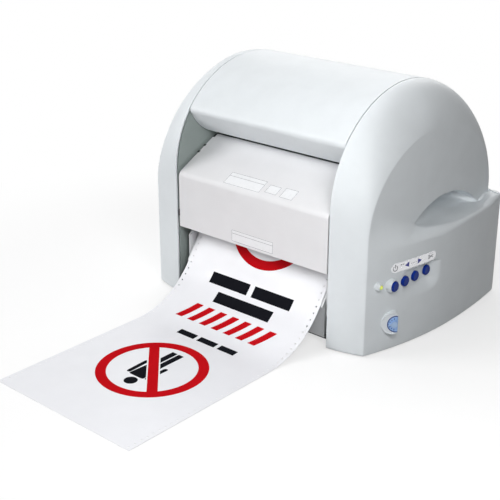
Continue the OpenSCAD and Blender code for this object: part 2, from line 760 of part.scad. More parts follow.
// Flange with a plug in the core, lightening windows and a stub axle.
module roll_flange() {
    difference() {
        union() {
            rod_x(flange_x, flange_wall, flange_radius, roll_y, roll_z);
            rod_x(flange_x - 16, 16.5, core_radius - 0.1, roll_y, roll_z);
            rod_x(flange_x, stub_end - flange_x, stub_radius, roll_y, roll_z);
        }
        rod_x(flange_x - 18, 16, core_radius - 3, roll_y, roll_z);
        for (angle = [0:60:300])
            rod_x(flange_x - 1, flange_wall + 2, 6, roll_y + 36 * cos(angle), roll_z + 36 * sin(angle));
    }
}

module left_roll_flange() {
    color("darkslategray") mirror([1, 0, 0]) roll_flange();
}

module right_roll_flange() {
    color("darkslategray") roll_flange();
}

// Upright with an open slot that the stub axle drops into.
module roll_stand() {
    difference() {
        union() {
            along_x(stand_x, stand_wall) polygon([[roll_y - 30, tray_top], [roll_y - 11, roll_z + 6],
                [roll_y + 11, roll_z + 6], [roll_y + 30, tray_top]]);
            slab([stand_x - 12, stand_x + 1], [roll_y - 28, roll_y + 28], [tray_top, tray_top + 3]);
        }
        rod_x(stand_x - 1, stand_wall + 2, stub_radius + running_fit, roll_y, roll_z);
        slab([stand_x - 1, stand_x + stand_wall + 1], [roll_y - stub_radius - running_fit, roll_y + stub_radius + running_fit],
            [roll_z, roll_z + 20]);
        rod_x(stand_x - 1, stand_wall + 2, 11, roll_y, roll_z - 48);
    }
}

module left_roll_stand() {
    color("gray") mirror([1, 0, 0]) roll_stand();
}

module right_roll_stand() {
    color("gray") roll_stand();
}

bush_wall = 3;
shaft_end = gear_x + gear_width + 3;

module feed_shaft() {
    color("silver") rod_x(-frame_out - 3, frame_out + 3 + shaft_end, feed_shaft_radius, feed_y, feed_z);
}

// Grip sleeve with shallow grooves between its bands.
module feed_sleeve() {
    half = sheet_width / 2 + 2;
    color("dimgray") difference() {
        rod_x(-half, 2 * half, feed_radius, feed_y, feed_z);
        rod_x(-half - 1, 2 * half + 2, feed_shaft_radius, feed_y, feed_z);
        for (x = [-half * 0.8:half * 0.4:half * 0.8])
            difference() {
                rod_x(x - 3, 6, feed_radius + 1, feed_y, feed_z);
                rod_x(x - 4, 8, feed_radius - 1, feed_y, feed_z);
            }
    }
}

module feed_gear() {
    color("ivory") difference() {
        union() {
            along_x(gear_x, gear_width) translate([feed_y, feed_z]) polygon(gear_line(gear_teeth, mesh_angle));
            rod_x(gear_x, gear_width + 2, feed_shaft_radius + 4, feed_y, feed_z);
        }
        rod_x(gear_x - 1, gear_width + 6, feed_shaft_radius, feed_y, feed_z);
        for (angle = [0:60:300])
            rod_x(gear_x - 1, gear_width + 2, gear_pitch * 0.19, feed_y + gear_pitch * 0.58 * cos(angle),
                feed_z + gear_pitch * 0.58 * sin(angle));
    }
}

module feed_bushes() {
    color("goldenrod") both_sides() difference() {
        union() {
            rod_x(frame_x - 1.5, frame_wall + 2, feed_shaft_radius + bush_wall, feed_y, feed_z);
            rod_x(frame_x - 1.5, 1.5, feed_shaft_radius + bush_wall + 2, feed_y, feed_z);
        }
        rod_x(frame_x - 4, frame_wall + 8, feed_shaft_radius + running_fit, feed_y, feed_z);
    }
}

module pinch_shaft() {
    color("silver") rod_x(-frame_out - 1, 2 * frame_out + 2, pinch_shaft_radius, pinch_y, pinch_z);
}

module pinch_rollers() {
    color("black") for (x = [-pinch_pitch, 0, pinch_pitch])
        difference() {
            rod_x(x - pinch_width / 2, pinch_width, pinch_radius, pinch_y, pinch_z);
            rod_x(x - pinch_width, 2 * pinch_width, pinch_shaft_radius, pinch_y, pinch_z);
        }
}

module motor_pinion() {
    color("goldenrod") {
        difference() {
            along_x(gear_x - 0.2, gear_width + 0.4) translate([pinion_y, pinion_z])
                polygon(gear_line(pinion_teeth, mesh_angle + 180 + 180 / pinion_teeth));
            rod_x(gear_x - 1, gear_width + 2, motor_shaft_radius - 0.5, pinion_y, pinion_z);
        }
        rod_x(frame_x - 6, gear_x + gear_width - frame_x + 6, motor_shaft_radius, pinion_y, pinion_z);
    }
}

module feed_motor() {
    color("darkgray") difference() {
        union() {
            slab([frame_x - motor_length, frame_x], [pinion_y - motor_half, pinion_y + motor_half],
                [pinion_z - motor_half, pinion_z + motor_half]);
            rod_x(frame_x - 1, 3, motor_shaft_radius + 2.8, pinion_y, pinion_z);
        }
        rod_x(frame_x - 7, 20, motor_shaft_radius + running_fit, pinion_y, pinion_z);
        for (y = [-1, 1], z = [-1, 1])
            translate([frame_x - motor_length / 2, pinion_y + y * motor_half, pinion_z + z * motor_half])
                rotate([45, 0, 0]) cube([motor_length + 2, 5, 5], center = true);
    }
}

// Hard bar under the sheet, square to the web, between the two frames.
module platen_bar() {
    platen_half = 13;
    platen_depth = 9;
    place = (head_y - web_y) / cos(web_angle);
    color("gray") along_x(-frame_x, 2 * frame_x)
        translate([web_y, web_z]) rotate(web_angle) translate([place - platen_half, -web_gap - platen_depth])
            difference() {
                square([2 * platen_half, platen_depth]);
                translate([3, -1]) square([2 * platen_half - 6, platen_depth - 2]);
            }
}

module carriage_rail(y) {
    color("silver") rod_x(-frame_out, 2 * frame_out, rail_radius, y, rail_z);
}

module front_rail() {
    carriage_rail(front_rail_y);
}

module rear_rail() {
    carriage_rail(rear_rail_y);
}

// Sliding block on the rails, with the head seat below and the belt clamp behind.
module carriage_frame() {
    belt_top = belt_z + pulley_radius + belt_thickness + 0.3;
    color("dimgray") translate([park_x, 0, 0]) difference() {
        union() {
            along_x(-carriage_width / 2, carriage_width)
                polygon([[carriage_front, carriage_base + 6], [carriage_front + 8, carriage_base],
                    [carriage_back - 8, carriage_base], [carriage_back, carriage_base + 6],
                    [carriage_back, carriage_top - 6], [carriage_back - 6, carriage_top],
                    [carriage_front + 6, carriage_top], [carriage_front, carriage_top - 6]]);
            slab([-clamp_half, clamp_half], [carriage_back - 2, belt_y + belt_width / 2 + 1],
                [belt_top - 4.5, belt_top + 2.5]);
            slab([-cutter_radius, cutter_radius], [cutter_y, carriage_front + 2], [carriage_base + 1, cutter_top - 1]);
        }
        rod_x(-carriage_width, 2 * carriage_width, rail_radius + running_fit, front_rail_y, rail_z);
        rod_x(-carriage_width, 2 * carriage_width, rail_radius + running_fit, rear_rail_y, rail_z);
        slab([-clamp_half - 1, clamp_half + 1], [belt_y - belt_width / 2 - 0.4, belt_y + belt_width],
            [belt_z + pulley_radius - 0.4, belt_top + 0.1]);
        translate([0, cutter_y, carriage_base - 10]) cylinder(h = 60, r = cutter_radius - 1.5 + 0.05);
    }
}

module print_head() {
    head_base = web_z + (head_y + head_length / 2 - web_y) * tan(web_angle) + sheet_thickness / cos(web_angle) + 0.9;
    color("silver") translate([park_x, 0, 0]) difference() {
        slab([-carriage_width / 2 + 5, carriage_width / 2 - 5], [head_y - head_length / 2, head_y + head_length / 2],
            [head_base, carriage_base]);
        for (x = [-carriage_width / 2 + 8:4:carriage_width / 2 - 8])
            slab([x - 1, x + 1], [head_y - head_length, head_y + head_length], [head_base + 5, carriage_base - 3]);
    }
}

// Ribbon box that drops on the carriage, with its two spools showing at the ends.
module ribbon_cassette() {
    box_half = carriage_width / 2 - 3;
    box_top = carriage_top + cassette_height;
    color("midnightblue") translate([park_x, 0, 0]) difference() {
        union() {
            along_x(-box_half, 2 * box_half)
                polygon([[front_rail_y - 2, carriage_top], [rear_rail_y + 2, carriage_top],
                    [rear_rail_y + 2, box_top - 6], [rear_rail_y - 4, box_top],
                    [front_rail_y + 4, box_top], [front_rail_y - 2, box_top - 6]]);
            slab([-6, 6], [head_y - 8, head_y + 8], [box_top - 0.5, box_top + 3]);
        }
        for (y = [front_rail_y + 8, rear_rail_y - 8])
            difference() {
                rod_x(-box_half - 1, 2 * box_half + 2, 6, y, carriage_top + 13);
                rod_x(-box_half + 2, 2 * box_half - 4, 7, y, carriage_top + 13);
                rod_x(-box_half - 2, 2 * box_half + 4, 2.5, y, carriage_top + 13);
            }
    }
}

cutter_tip = web_z + (cutter_y - web_y) * tan(web_angle) + sheet_thickness + 0.9;

module cutter_holder() {
    color("gold") translate([park_x, cutter_y, 0]) difference() {
        union() {
            translate([0, 0, cutter_tip + 6]) cylinder(h = cutter_top - cutter_tip - 6, r = cutter_radius - 1.5);
            translate([0, 0, cutter_top - 1]) cylinder(h = 5, r = cutter_radius);
            translate([0, 0, cutter_tip + 2.5]) cylinder(h = 4, r1 = blade_radius + 1, r2 = cutter_radius - 1.5);
        }
        translate([0, 0, cutter_tip - 1]) cylinder(h = 25, r = blade_radius + running_fit);
    }
}

// Knife that swivels freely in its holder, with an edge set off its axis.
module cutter_blade() {
    color("silver") translate([park_x, cutter_y, 0]) difference() {
        translate([0, 0, cutter_tip]) cylinder(h = 22, r = blade_radius);
        for (side = [-1, 1])
            translate([-5, side > 0 ? 0.35 : -5.35, cutter_tip - 1]) cube([10, 5, 4]);
        translate([-0.6, 0, cutter_tip]) rotate([0, -38, 0]) translate([0, -5, -8]) cube([10, 10, 8]);
    }
}

module belt_ring(grow) {
    for (x = [-pulley_x, pulley_x])
        translate([x, belt_z]) circle(r = pulley_radius + grow);
    translate([-pulley_x, belt_z - pulley_radius - grow]) square([2 * pulley_x, 2 * (pulley_radius + grow)]);
}

module carriage_belt() {
    color("black") translate([0, belt_y + belt_width / 2, 0]) rotate([90, 0, 0]) linear_extrude(belt_width)
        difference() {
            belt_ring(belt_thickness);
            belt_ring(web_gap);
        }
}

// Flanged pulley on its own short shaft, which runs back into the motor or the bracket.
module belt_pulley(x) {
    face = belt_width / 2 + 0.5;
    rod_y(belt_y - face, 2 * face, pulley_radius, x, belt_z);
    rod_y(belt_y - face - 1.2, 1.2, pulley_radius + pulley_flange, x, belt_z);
    rod_y(belt_y + face, 1.2, pulley_radius + pulley_flange, x, belt_z);
    rod_y(belt_y + face, 10, 2, x, belt_z);
}

module drive_pulley() {
    color("silver") belt_pulley(pulley_x);
}

module idler_pulley() {
    color("silver") belt_pulley(-pulley_x);
}

motor_face_y = belt_y + belt_width / 2 + 3.2;
bracket_wall = 3;

// Plate from the side frame that carries a belt end.
module belt_bracket(reach) {
    slab([pulley_x - 14, frame_x], [motor_face_y, motor_face_y + bracket_wall], [belt_z - 12, belt_z + 14]);
    slab([frame_x - bracket_wall, frame_x], [motor_face_y, motor_face_y + reach], [belt_z - 12, belt_z + 14]);
}

module carriage_motor() {
    color("darkgray") difference() {
        union() {
            belt_bracket(12);
            rod_y(motor_face_y + bracket_wall, carriage_motor_length, carriage_motor_radius, pulley_x, belt_z);
            rod_y(motor_face_y + bracket_wall + carriage_motor_length, 2, 5, pulley_x, belt_z);
        }
        rod_y(motor_face_y - 1, 14, 2 + running_fit, pulley_x, belt_z);
    }
}

module idler_bracket() {
    color("slategray") mirror([1, 0, 0]) difference() {
        union() {
            belt_bracket(16);
            rod_y(motor_face_y, 8, 5, pulley_x, belt_z);
        }
        rod_y(motor_face_y - 1, 14, 2 + running_fit, pulley_x, belt_z);
    }
}

// Control board on spacers, on the outside of the left frame.
module main_board() {
    spacer = 6;
    board_x = frame_out + spacer;
    board_wall = 1.6;
    front = -arch_half_depth * 0.39;
    length = arch_half_depth * 1.13;
    base = tray_top + floor_gap * 5.6;
    height = block_top * 0.63;
    edge = spacer + 2;
    color("darkgreen") mirror([1, 0, 0]) {
        slab([board_x, board_x + board_wall], [front, front + length], [base, base + height]);
        for (y = [front + edge, front + length - edge], z = [base + edge, base + height - edge])
            rod_x(frame_out, spacer + 0.1, spacer / 2, y, z);
        // Chips, as shares of the board's length and height, and of its height for the half width.
        for (chip = [[0.11, 0.3, 0.14], [0.35, 0.6, 0.1], [0.51, 0.28, 0.17], [0.73, 0.7, 0.09]])
            translate([board_x, front + chip[0] * length, base + chip[1] * height])
                slab([board_wall - 0.1, 4], height * chip[2] * [-1, 1], height * chip[2] * [-1, 1]);
        for (share = [0.07, 0.65, 0.78])
            translate([board_x, front + share * length, base])
                slab([board_wall - 0.1, 10], [-7, 7], [2, 9]);
        for (share = [0.22, 0.3])
            rod_x(board_x + board_wall - 0.1, 12, 4, front + share * length, base + edge);
    }
}

// Folded metal can with a vented lid, under the roll.
module power_supply() {
    half = sheet_width * 0.29;
    supply_y = [roll_y - roll_radius * 0.83, roll_y + roll_radius * 0.87];
    height = (roll_z - flange_radius - tray_top) * 0.78;
    vent = height * 0.4;
    color("silver") difference() {
        slab([-half, half], supply_y, [tray_top, tray_top + height]);
        for (x = [-half + vent:vent * 0.8:half - vent])
            slab([x - vent / 7, x + vent / 7], [supply_y[0] + vent, supply_y[1] - vent],
                [tray_top + height - 1.5, tray_top + height + 1]);
    }
}

inlet_x = -hood_width * 0.32;
inlet_width = 27;
inlet_height = 20;
port_x = -hood_width * 0.17;
port_width = 12;
port_z = 34;

// Three-pin mains socket with blades and chamfered cavity, flush with the rear cover.
module power_inlet() {
    back = arch_half_depth - 0.2;
    depth = 18;
    half = inlet_width / 2;
    color("black") translate([inlet_x, 0, port_z]) {
        difference() {
            union() {
                slab([-half, half], [back - depth - 3, back], [-inlet_height / 2, inlet_height / 2]);
                slab([-half - 3, half + 3], [arch_half_depth - wall - seat_gap - 2, arch_half_depth - wall - seat_gap],
                    [-inlet_height / 2 - 3, inlet_height / 2 + 3]);
            }
            translate([0, back + 1, 0]) rotate([90, 0, 0]) linear_extrude(depth)
                polygon([[-half + 2, -8], [half - 2, -8], [half - 2, 3], [half - 7, 8], [-half + 7, 8], [-half + 2, 3]]);
        }
        for (x = [-7, 0, 7])
            slab([x - 1, x + 1], [back - depth - 0.5, back - 7], [x == 0 ? 0 : -4, x == 0 ? 4 : 0]);
    }
}

// Square data socket with its tongue.
module data_port() {
    back = arch_half_depth - 0.2;
    half = port_width / 2;
    color("silver") translate([port_x, 0, port_z]) {
        difference() {
            union() {
                slab([-half, half], [back - 15, back], [-half, half]);
                slab([-half - 2, half + 2], [arch_half_depth - wall - seat_gap - 2, arch_half_depth - wall - seat_gap],
                    [-half - 2, half + 2]);
            }
            slab([-half + 1.5, half - 1.5], [back - 12, back + 1], [-half + 1.5, half - 1.5]);
        }
        slab([-2.8, 2.8], [back - 12.5, back - 2], [-1.6, 1.6]);
    }
}

// Sheet on its way from the roll, over the platen and the top of the feed roller.
module sheet_web() {
    half = sheet_width / 2;
    start = 90 + web_angle;
    end = 90 + exit_angle;
    far = 3 * wrap_radius;
    color("white") along_x(-half, sheet_width) {
        translate([web_y, web_z]) rotate(web_angle) square([web_length, sheet_thickness]);
        translate([feed_y, feed_z]) intersection() {
            difference() {
                circle(r = wrap_radius + sheet_thickness, $fn = 96);
                circle(r = wrap_radius, $fn = 96);
            }
            polygon([[0, 0], far * [cos(start), sin(start)],
                far * [cos((start + end) / 2), sin((start + end) / 2)], far * [cos(end), sin(end)]]);
        }
    }
}

// Printed sheet: a straight drop from the roller, a curl and a flat run on the table.
module printed_sheet() {
    half = sheet_width / 2;
    reach_y = -arch_half_depth - sheet_reach;
    far = 2 * curl_radius;
    lap = 0.1;
    color("white") along_x(-half, sheet_width) {
        translate([curl_y, curl_z]) rotate(exit_angle) translate([-lap, 0]) square([drop_length + lap, sheet_thickness]);
        translate([landing_y, curl_radius]) intersection() {
            difference() {
                circle(r = curl_radius, $fn = 240);
                circle(r = curl_radius - sheet_thickness, $fn = 240);
            }
            polygon([[0, 0], [0, -far], [far * tan(exit_angle / 2), -far],
                far * [sin(exit_angle), -cos(exit_angle)]]);
        }
        translate([reach_y, 0]) square([landing_y - reach_y + lap, sheet_thickness]);
    }
}

module placed() {
    translate([0, housing_y, 0]) children();
}

placed() base_tray();
placed() rubber_feet();
placed() left_frame();
placed() right_frame();
placed() left_side_cover();
placed() right_side_cover();
placed() rear_cover();
placed() exit_chute();
placed() top_cover();
placed() hood_hinge_pins();
placed() front_cover();
placed() front_hinge_pins();
placed() control_bezel();
placed() power_button();
placed() reverse_button();
placed() feed_button();
placed() cut_button();
placed() key_board();
placed() status_lamp();
placed() dial_plate();
placed() dial_knob();
placed() label_roll();
placed() roll_core();
placed() left_roll_flange();
placed() right_roll_flange();
placed() left_roll_stand();
placed() right_roll_stand();
placed() feed_shaft();
placed() feed_sleeve();
placed() feed_gear();
placed() feed_bushes();
placed() pinch_shaft();
placed() pinch_rollers();
placed() motor_pinion();
placed() feed_motor();
placed() platen_bar();
placed() front_rail();
placed() rear_rail();
placed() carriage_frame();
placed() print_head();
placed() ribbon_cassette();
placed() cutter_holder();
placed() cutter_blade();
placed() carriage_belt();
placed() drive_pulley();
placed() idler_pulley();
placed() carriage_motor();
placed() idler_bracket();
placed() main_board();
placed() power_supply();
placed() power_inlet();
placed() data_port();
placed() sheet_web();
placed() printed_sheet();
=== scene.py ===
"""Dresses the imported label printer: finishes, covers, printed sheet, marks, light and camera."""

import json
import logging
import math
from dataclasses import dataclass, field
from enum import Enum
from typing import Callable, Sequence

import bmesh
import bpy
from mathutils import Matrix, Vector


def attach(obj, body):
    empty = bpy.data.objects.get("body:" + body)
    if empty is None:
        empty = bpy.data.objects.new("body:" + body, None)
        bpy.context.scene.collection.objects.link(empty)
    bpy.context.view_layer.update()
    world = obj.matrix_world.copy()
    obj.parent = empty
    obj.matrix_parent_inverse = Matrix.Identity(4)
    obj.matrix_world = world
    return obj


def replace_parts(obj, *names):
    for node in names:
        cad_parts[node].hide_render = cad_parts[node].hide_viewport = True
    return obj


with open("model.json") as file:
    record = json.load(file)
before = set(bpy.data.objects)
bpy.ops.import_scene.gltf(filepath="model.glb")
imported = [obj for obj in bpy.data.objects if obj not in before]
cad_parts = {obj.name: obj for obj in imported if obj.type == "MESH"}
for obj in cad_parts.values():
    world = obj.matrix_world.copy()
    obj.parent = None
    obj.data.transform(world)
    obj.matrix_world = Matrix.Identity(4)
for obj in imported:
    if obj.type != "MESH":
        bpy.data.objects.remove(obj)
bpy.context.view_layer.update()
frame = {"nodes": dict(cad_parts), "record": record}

LOG = logging.getLogger("label_printer")
MM = 0.001
WELD = 1e-6

# Middle of the arch along the depth, in the frame's millimetres
HOUSING_Y = 140.0
# Places of the keys and the lamp: along the depth from the arch's middle, and height
KEY_PLACES = (-90.5, -71.0, -52.0, -30.0)
KEY_Z = 79.0
LAMP_PLACE = -108.0
LAMP_Z = 82.0

Colour = tuple[float, float, float]
Point = tuple[float, float, float]
Flat = tuple[float, float]
# Start and length of a soft change
Span = tuple[float, float]
# Turns two flat coordinates and a height into a point
Placer = Callable[[float, float, float], Point]


class Grain(Enum):
    """Fine surface detail that a finish can carry."""

    MOULDED = "moulded"
    BRUSHED = "brushed"
    FIBRE = "fibre"
    SMOOTH = "smooth"


# How far a grain is drawn out along the width
GRAIN_STRETCH = {Grain.BRUSHED: (0.04, 1.0, 1.0), Grain.FIBRE: (0.35, 1.0, 1.0)}
# Specks and gloss patches, as multiples of the grain's size
SPECK_SCALE = 2.2
GLOSS_SCALE = 9.0
# Part of the specks in the change of colour
SPECK_SHARE = 0.35
LEAST_ROUGH = 0.02
# Millimetres that light scatters below a surface that lets it in
SCATTER_DEPTH = 1.5


def linear(colour: Colour) -> tuple[float, float, float, float]:
    """Turns a display colour into the linear colour that a shader takes.

    Args:
        colour: red, green and blue from 0 to 255.

    Returns:
        Linear red, green, blue and a full alpha.
    """
    shares = [part / 255.0 for part in colour]
    values = [s / 12.92 if s <= 0.04045 else ((s + 0.055) / 1.055) ** 2.4 for s in shares]
    return (values[0], values[1], values[2], 1.0)


def shaded(colour: Colour, factor: float) -> Colour:
    """Makes a display colour darker or lighter.

    Args:
        colour: red, green and blue from 0 to 255.
        factor: below 1 for darker, above 1 for lighter.

    Returns:
        The new colour, kept within 0 to 255.
    """
    return tuple(min(255.0, max(0.0, part * factor)) for part in colour)


class Wiring:
    """Adds and joins shader nodes in one material."""

    usual: Flat = (0.3, 0.7)
    octave_share: float = 0.55

    def __init__(self, tree: bpy.types.NodeTree) -> None:
        """Keeps the tree that the nodes go into."""
        self.tree = tree

    def node(self, kind: str, **inputs: object) -> bpy.types.Node:
        """Adds a node and sets its inputs by their names.

        Args:
            kind: the node's type name.
            inputs: values by input name, with an underscore for each space.

        Returns:
            The new node.
        """
        made = self.tree.nodes.new(kind)
        for name, value in inputs.items():
            made.inputs[name.replace("_", " ")].default_value = value
        return made

    def join(self, source: bpy.types.NodeSocket, target: bpy.types.NodeSocket) -> None:
        """Links an output to an input."""
        self.tree.links.new(source, target)

    def noise(self, where: bpy.types.NodeSocket, size: float, depth: float) -> bpy.types.Node:
        """Adds a noise whose blotches have about the given size.

        Args:
            where: the coordinates it reads.
            size: blotch size in millimetres.
            depth: octaves of detail.

        Returns:
            The noise node.
        """
        made = self.node("ShaderNodeTexNoise", Scale=1.0 / (size * MM), Detail=depth,
                         Roughness=self.octave_share)
        self.join(where, made.inputs["Vector"])
        return made

    def spread(self, source: bpy.types.NodeSocket, low: float,
               high: float) -> bpy.types.NodeSocket:
        """Maps a noise's usual range to another range.

        Args:
            source: the noise's factor.
            low: value at the lower end.
            high: value at the upper end.

        Returns:
            The mapped value.
        """
        begin, end = self.usual
        made = self.node("ShaderNodeMapRange", From_Min=begin, From_Max=end, To_Min=low,
                         To_Max=high)
        self.join(source, made.inputs["Value"])
        return made.outputs["Result"]


@dataclass(frozen=True)
class Finish:
    """One procedural finish: colour, gloss and the fine detail of its surface."""

    name: str
    colour: Colour
    rough: float = 0.5
    metal: float = 0.0
    grain: Grain = Grain.MOULDED
    grain_size: float = 0.5
    relief: float = 0.012
    mottle: float = 0.02
    mottle_size: float = 26.0
    gloss_spread: float = 0.06
    specular: float = 0.5
    coat: float = 0.0
    glow: float = 0.0
    through: float = 0.0

    def material(self) -> bpy.types.Material:
        """Makes the material once and hands out the same one after that.

        Returns:
            The material.
        """
        known = bpy.data.materials.get(self.name)
        if known is not None:
            return known
        made = bpy.data.materials.new(self.name)
        made.use_nodes = True
        wiring = Wiring(made.node_tree)
        shader = made.node_tree.nodes["Principled BSDF"]
        shader.inputs["Metallic"].default_value = self.metal
        shader.inputs["Specular IOR Level"].default_value = self.specular
        shader.inputs["Coat Weight"].default_value = self.coat
        shader.inputs["Subsurface Weight"].default_value = self.through
        shader.inputs["Subsurface Scale"].default_value = SCATTER_DEPTH * MM
        if self.glow > 0:
            shader.inputs["Emission Color"].default_value = linear(self.colour)
            shader.inputs["Emission Strength"].default_value = self.glow
        where = wiring.node("ShaderNodeTexCoord").outputs["Object"]
        self._tint(wiring, shader, where)
        self._surface(wiring, shader, where)
        made.diffuse_color = linear(self.colour)
        return made

    def _tint(self, wiring: Wiring, shader: bpy.types.Node,
              where: bpy.types.NodeSocket) -> None:
        """Varies the colour in large soft patches and small specks.

        Args:
            wiring: the material's nodes.
            shader: the shader that takes the colour.
            where: object coordinates.
        """
        patch = wiring.noise(where, self.mottle_size, 3.0)
        speck = wiring.noise(where, self.grain_size * SPECK_SCALE, 1.0)
        blend = wiring.node("ShaderNodeMath")
        blend.operation = "MULTIPLY_ADD"
        blend.inputs[1].default_value = SPECK_SHARE
        wiring.join(speck.outputs["Fac"], blend.inputs[0])
        wiring.join(wiring.spread(patch.outputs["Fac"], 0.0, 1.0 - SPECK_SHARE), blend.inputs[2])
        mix = wiring.node("ShaderNodeMix")
        mix.data_type = "RGBA"
        mix.inputs[6].default_value = linear(shaded(self.colour, 1.0 - self.mottle))
        mix.inputs[7].default_value = linear(shaded(self.colour, 1.0 + self.mottle))
        wiring.join(blend.outputs[0], mix.inputs["Factor"])
        wiring.join(mix.outputs[2], shader.inputs["Base Color"])

    def _surface(self, wiring: Wiring, shader: bpy.types.Node,
                 where: bpy.types.NodeSocket) -> None:
        """Adds the fine relief and the uneven gloss.

        Args:
            wiring: the material's nodes.
            shader: the shader that takes them.
            where: object coordinates.
        """
        if self.grain in GRAIN_STRETCH:
            stretch = wiring.node("ShaderNodeMapping", Scale=GRAIN_STRETCH[self.grain])
            wiring.join(where, stretch.inputs["Vector"])
            where = stretch.outputs["Vector"]
        fine = wiring.noise(where, self.grain_size, 0.0 if self.grain is Grain.MOULDED else 3.0)
        bump = wiring.node("ShaderNodeBump", Strength=1.0, Distance=self.relief * MM)
        wiring.join(fine.outputs["Fac"], bump.inputs["Height"])
        if self.grain is not Grain.SMOOTH:
            wiring.join(bump.outputs["Normal"], shader.inputs["Normal"])
        gloss = wiring.noise(where, self.grain_size * GLOSS_SCALE, 2.0)
        low = max(LEAST_ROUGH, self.rough - self.gloss_spread)
        high = min(1.0, self.rough + self.gloss_spread)
        wiring.join(wiring.spread(gloss.outputs["Fac"], low, high), shader.inputs["Roughness"])


FINISHES: dict[str, Finish] = {
    "cover": Finish("cover_moulding", (229, 234, 237), rough=0.46, relief=0.014, mottle=0.012,
                    specular=0.4),
    "panel": Finish("front_moulding", (232, 232, 234), rough=0.42, relief=0.008, mottle=0.01,
                    specular=0.15),
    "frame": Finish("frame_moulding", (150, 160, 157), mottle=0.03),
    "dark": Finish("dark_moulding", (52, 54, 56), rough=0.45, mottle=0.06),
    "tray": Finish("tray_paint", (78, 80, 83), grain_size=0.9, relief=0.02, mottle=0.05),
    "chute": Finish("chute_moulding", (216, 218, 220), rough=0.44, relief=0.01, mottle=0.015),
    "rubber": Finish("black_rubber", (34, 34, 35), rough=0.82, relief=0.02, mottle=0.12,
                     specular=0.3),
    "steel": Finish("ground_steel", (205, 207, 210), rough=0.26, metal=1.0, grain=Grain.BRUSHED,
                    grain_size=0.25, relief=0.004, mottle=0.05),
    "key": Finish("key_blue", (10, 48, 142), rough=0.34, relief=0.006, mottle=0.05, specular=0.12),
    "lamp": Finish("lamp_lens", (214, 226, 92), rough=0.18, grain=Grain.SMOOTH, mottle=0.08,
                   coat=0.4, glow=0.25, through=0.3),
    "scale": Finish("dial_blue", (152, 186, 234), rough=0.4, relief=0.006, mottle=0.03),
    "knob": Finish("knob_blue", (172, 198, 232), rough=0.4, relief=0.006, mottle=0.03),
    "board": Finish("circuit_green", (24, 92, 56), rough=0.38, relief=0.01, mottle=0.15,
                    mottle_size=4.0, coat=0.3),
    "label": Finish("sign_sheet", (236, 237, 241), rough=0.36, grain=Grain.FIBRE, grain_size=1.2,
                    relief=0.004, mottle=0.008),
    "card": Finish("core_card", (168, 132, 92), rough=0.85, grain=Grain.FIBRE, grain_size=0.8,
                   relief=0.03, mottle=0.08, mottle_size=6.0),
    "brass": Finish("turned_brass", (206, 170, 92), rough=0.3, metal=1.0, grain=Grain.BRUSHED,
                    grain_size=0.2, relief=0.004, mottle=0.06),
    "gear": Finish("gear_nylon", (226, 220, 204), relief=0.008, through=0.2),
    "motor": Finish("motor_can", (150, 152, 156), rough=0.36, metal=1.0, grain=Grain.BRUSHED,
                    grain_size=0.3, relief=0.005, mottle=0.06),
    "alloy": Finish("folded_alloy", (196, 199, 203), rough=0.4, metal=1.0, grain_size=0.7,
                    relief=0.01, mottle=0.05),
    "cassette": Finish("ribbon_box", (58, 60, 64), rough=0.42, mottle=0.06),
}
RED_PRINT = Finish("red_print", (196, 20, 28), rough=0.34, grain=Grain.FIBRE, grain_size=0.8,
                   relief=0.003, mottle=0.03, specular=0.0)
BLACK_PRINT = Finish("black_print", (26, 27, 32), rough=0.36, grain=Grain.FIBRE, grain_size=0.8,
                     relief=0.003, mottle=0.08, specular=0.0)
WHITE_PRINT = Finish("white_print", (240, 241, 242), rough=0.36, grain=Grain.FIBRE,
                     grain_size=0.8, relief=0.003, mottle=0.01)
MARK_BLUE = Finish("mark_blue", (60, 64, 150), rough=0.4, relief=0.004, mottle=0.05)
RIM_BLUE = Finish("rim_blue", (30, 62, 134), rough=0.4, relief=0.004, mottle=0.06)
MARK_DARK = Finish("mark_dark", (48, 50, 60), rough=0.45, relief=0.004, mottle=0.06)
LABEL_LINE = Finish("label_line", (118, 120, 126), rough=0.45, relief=0.004, mottle=0.05)
LABEL_FILM = Finish("label_film", (241, 242, 244), rough=0.3, relief=0.003, mottle=0.01,
                    specular=0.2)
STRIP_FILM = Finish("strip_film", (246, 247, 250), rough=0.24, metal=0.45, relief=0.003,
                    mottle=0.01, coat=0.5)


@dataclass
class Dressing:
    """Gives every CAD node its finish and softens its edges."""

    bare: tuple[str, ...] = ("label_roll", "carriage_belt", "sheet_web", "feed_gear",
                             "motor_pinion")
    edge_width: float = 0.35
    edge_steps: int = 2
    edge_angle: float = 38.0
    normal_weight: int = 80

    def run(self) -> None:
        """Dresses all nodes of the frame."""
        slots = {row["node"]: row["material_slot"] for row in frame["record"]["subparts"]}
        for name, node in frame["nodes"].items():
            self.finish(node, FINISHES[slots[name]])
            self.soften(node, name)
            LOG.info("dressed %s", name)

    def finish(self, node: bpy.types.Object, finish: Finish) -> None:
        """Puts one finish on all faces of a node."""
        node.data.materials.clear()
        node.data.materials.append(finish.material())

    def soften(self, node: bpy.types.Object, name: str) -> None:
        """Adds weld, edge rounding and weighted normals as modifiers.

        Args:
            node: the CAD node's object.
            name: the node's name.
        """
        mesh = node.data
        if "custom_normal" in mesh.attributes:
            mesh.attributes.remove(mesh.attributes["custom_normal"])
        mesh.shade_smooth()
        weld = node.modifiers.new("weld", "WELD")
        weld.merge_threshold = WELD
        if name not in self.bare:
            bevel = node.modifiers.new("edge_round", "BEVEL")
            bevel.width = self.edge_width * MM
            bevel.segments = self.edge_steps
            bevel.limit_method = "ANGLE"
            bevel.angle_limit = math.radians(self.edge_angle)
            bevel.use_clamp_overlap = True
            bevel.harden_normals = False
        normals = node.modifiers.new("normals", "WEIGHTED_NORMAL")
        normals.keep_sharp = True
        normals.weight = self.normal_weight


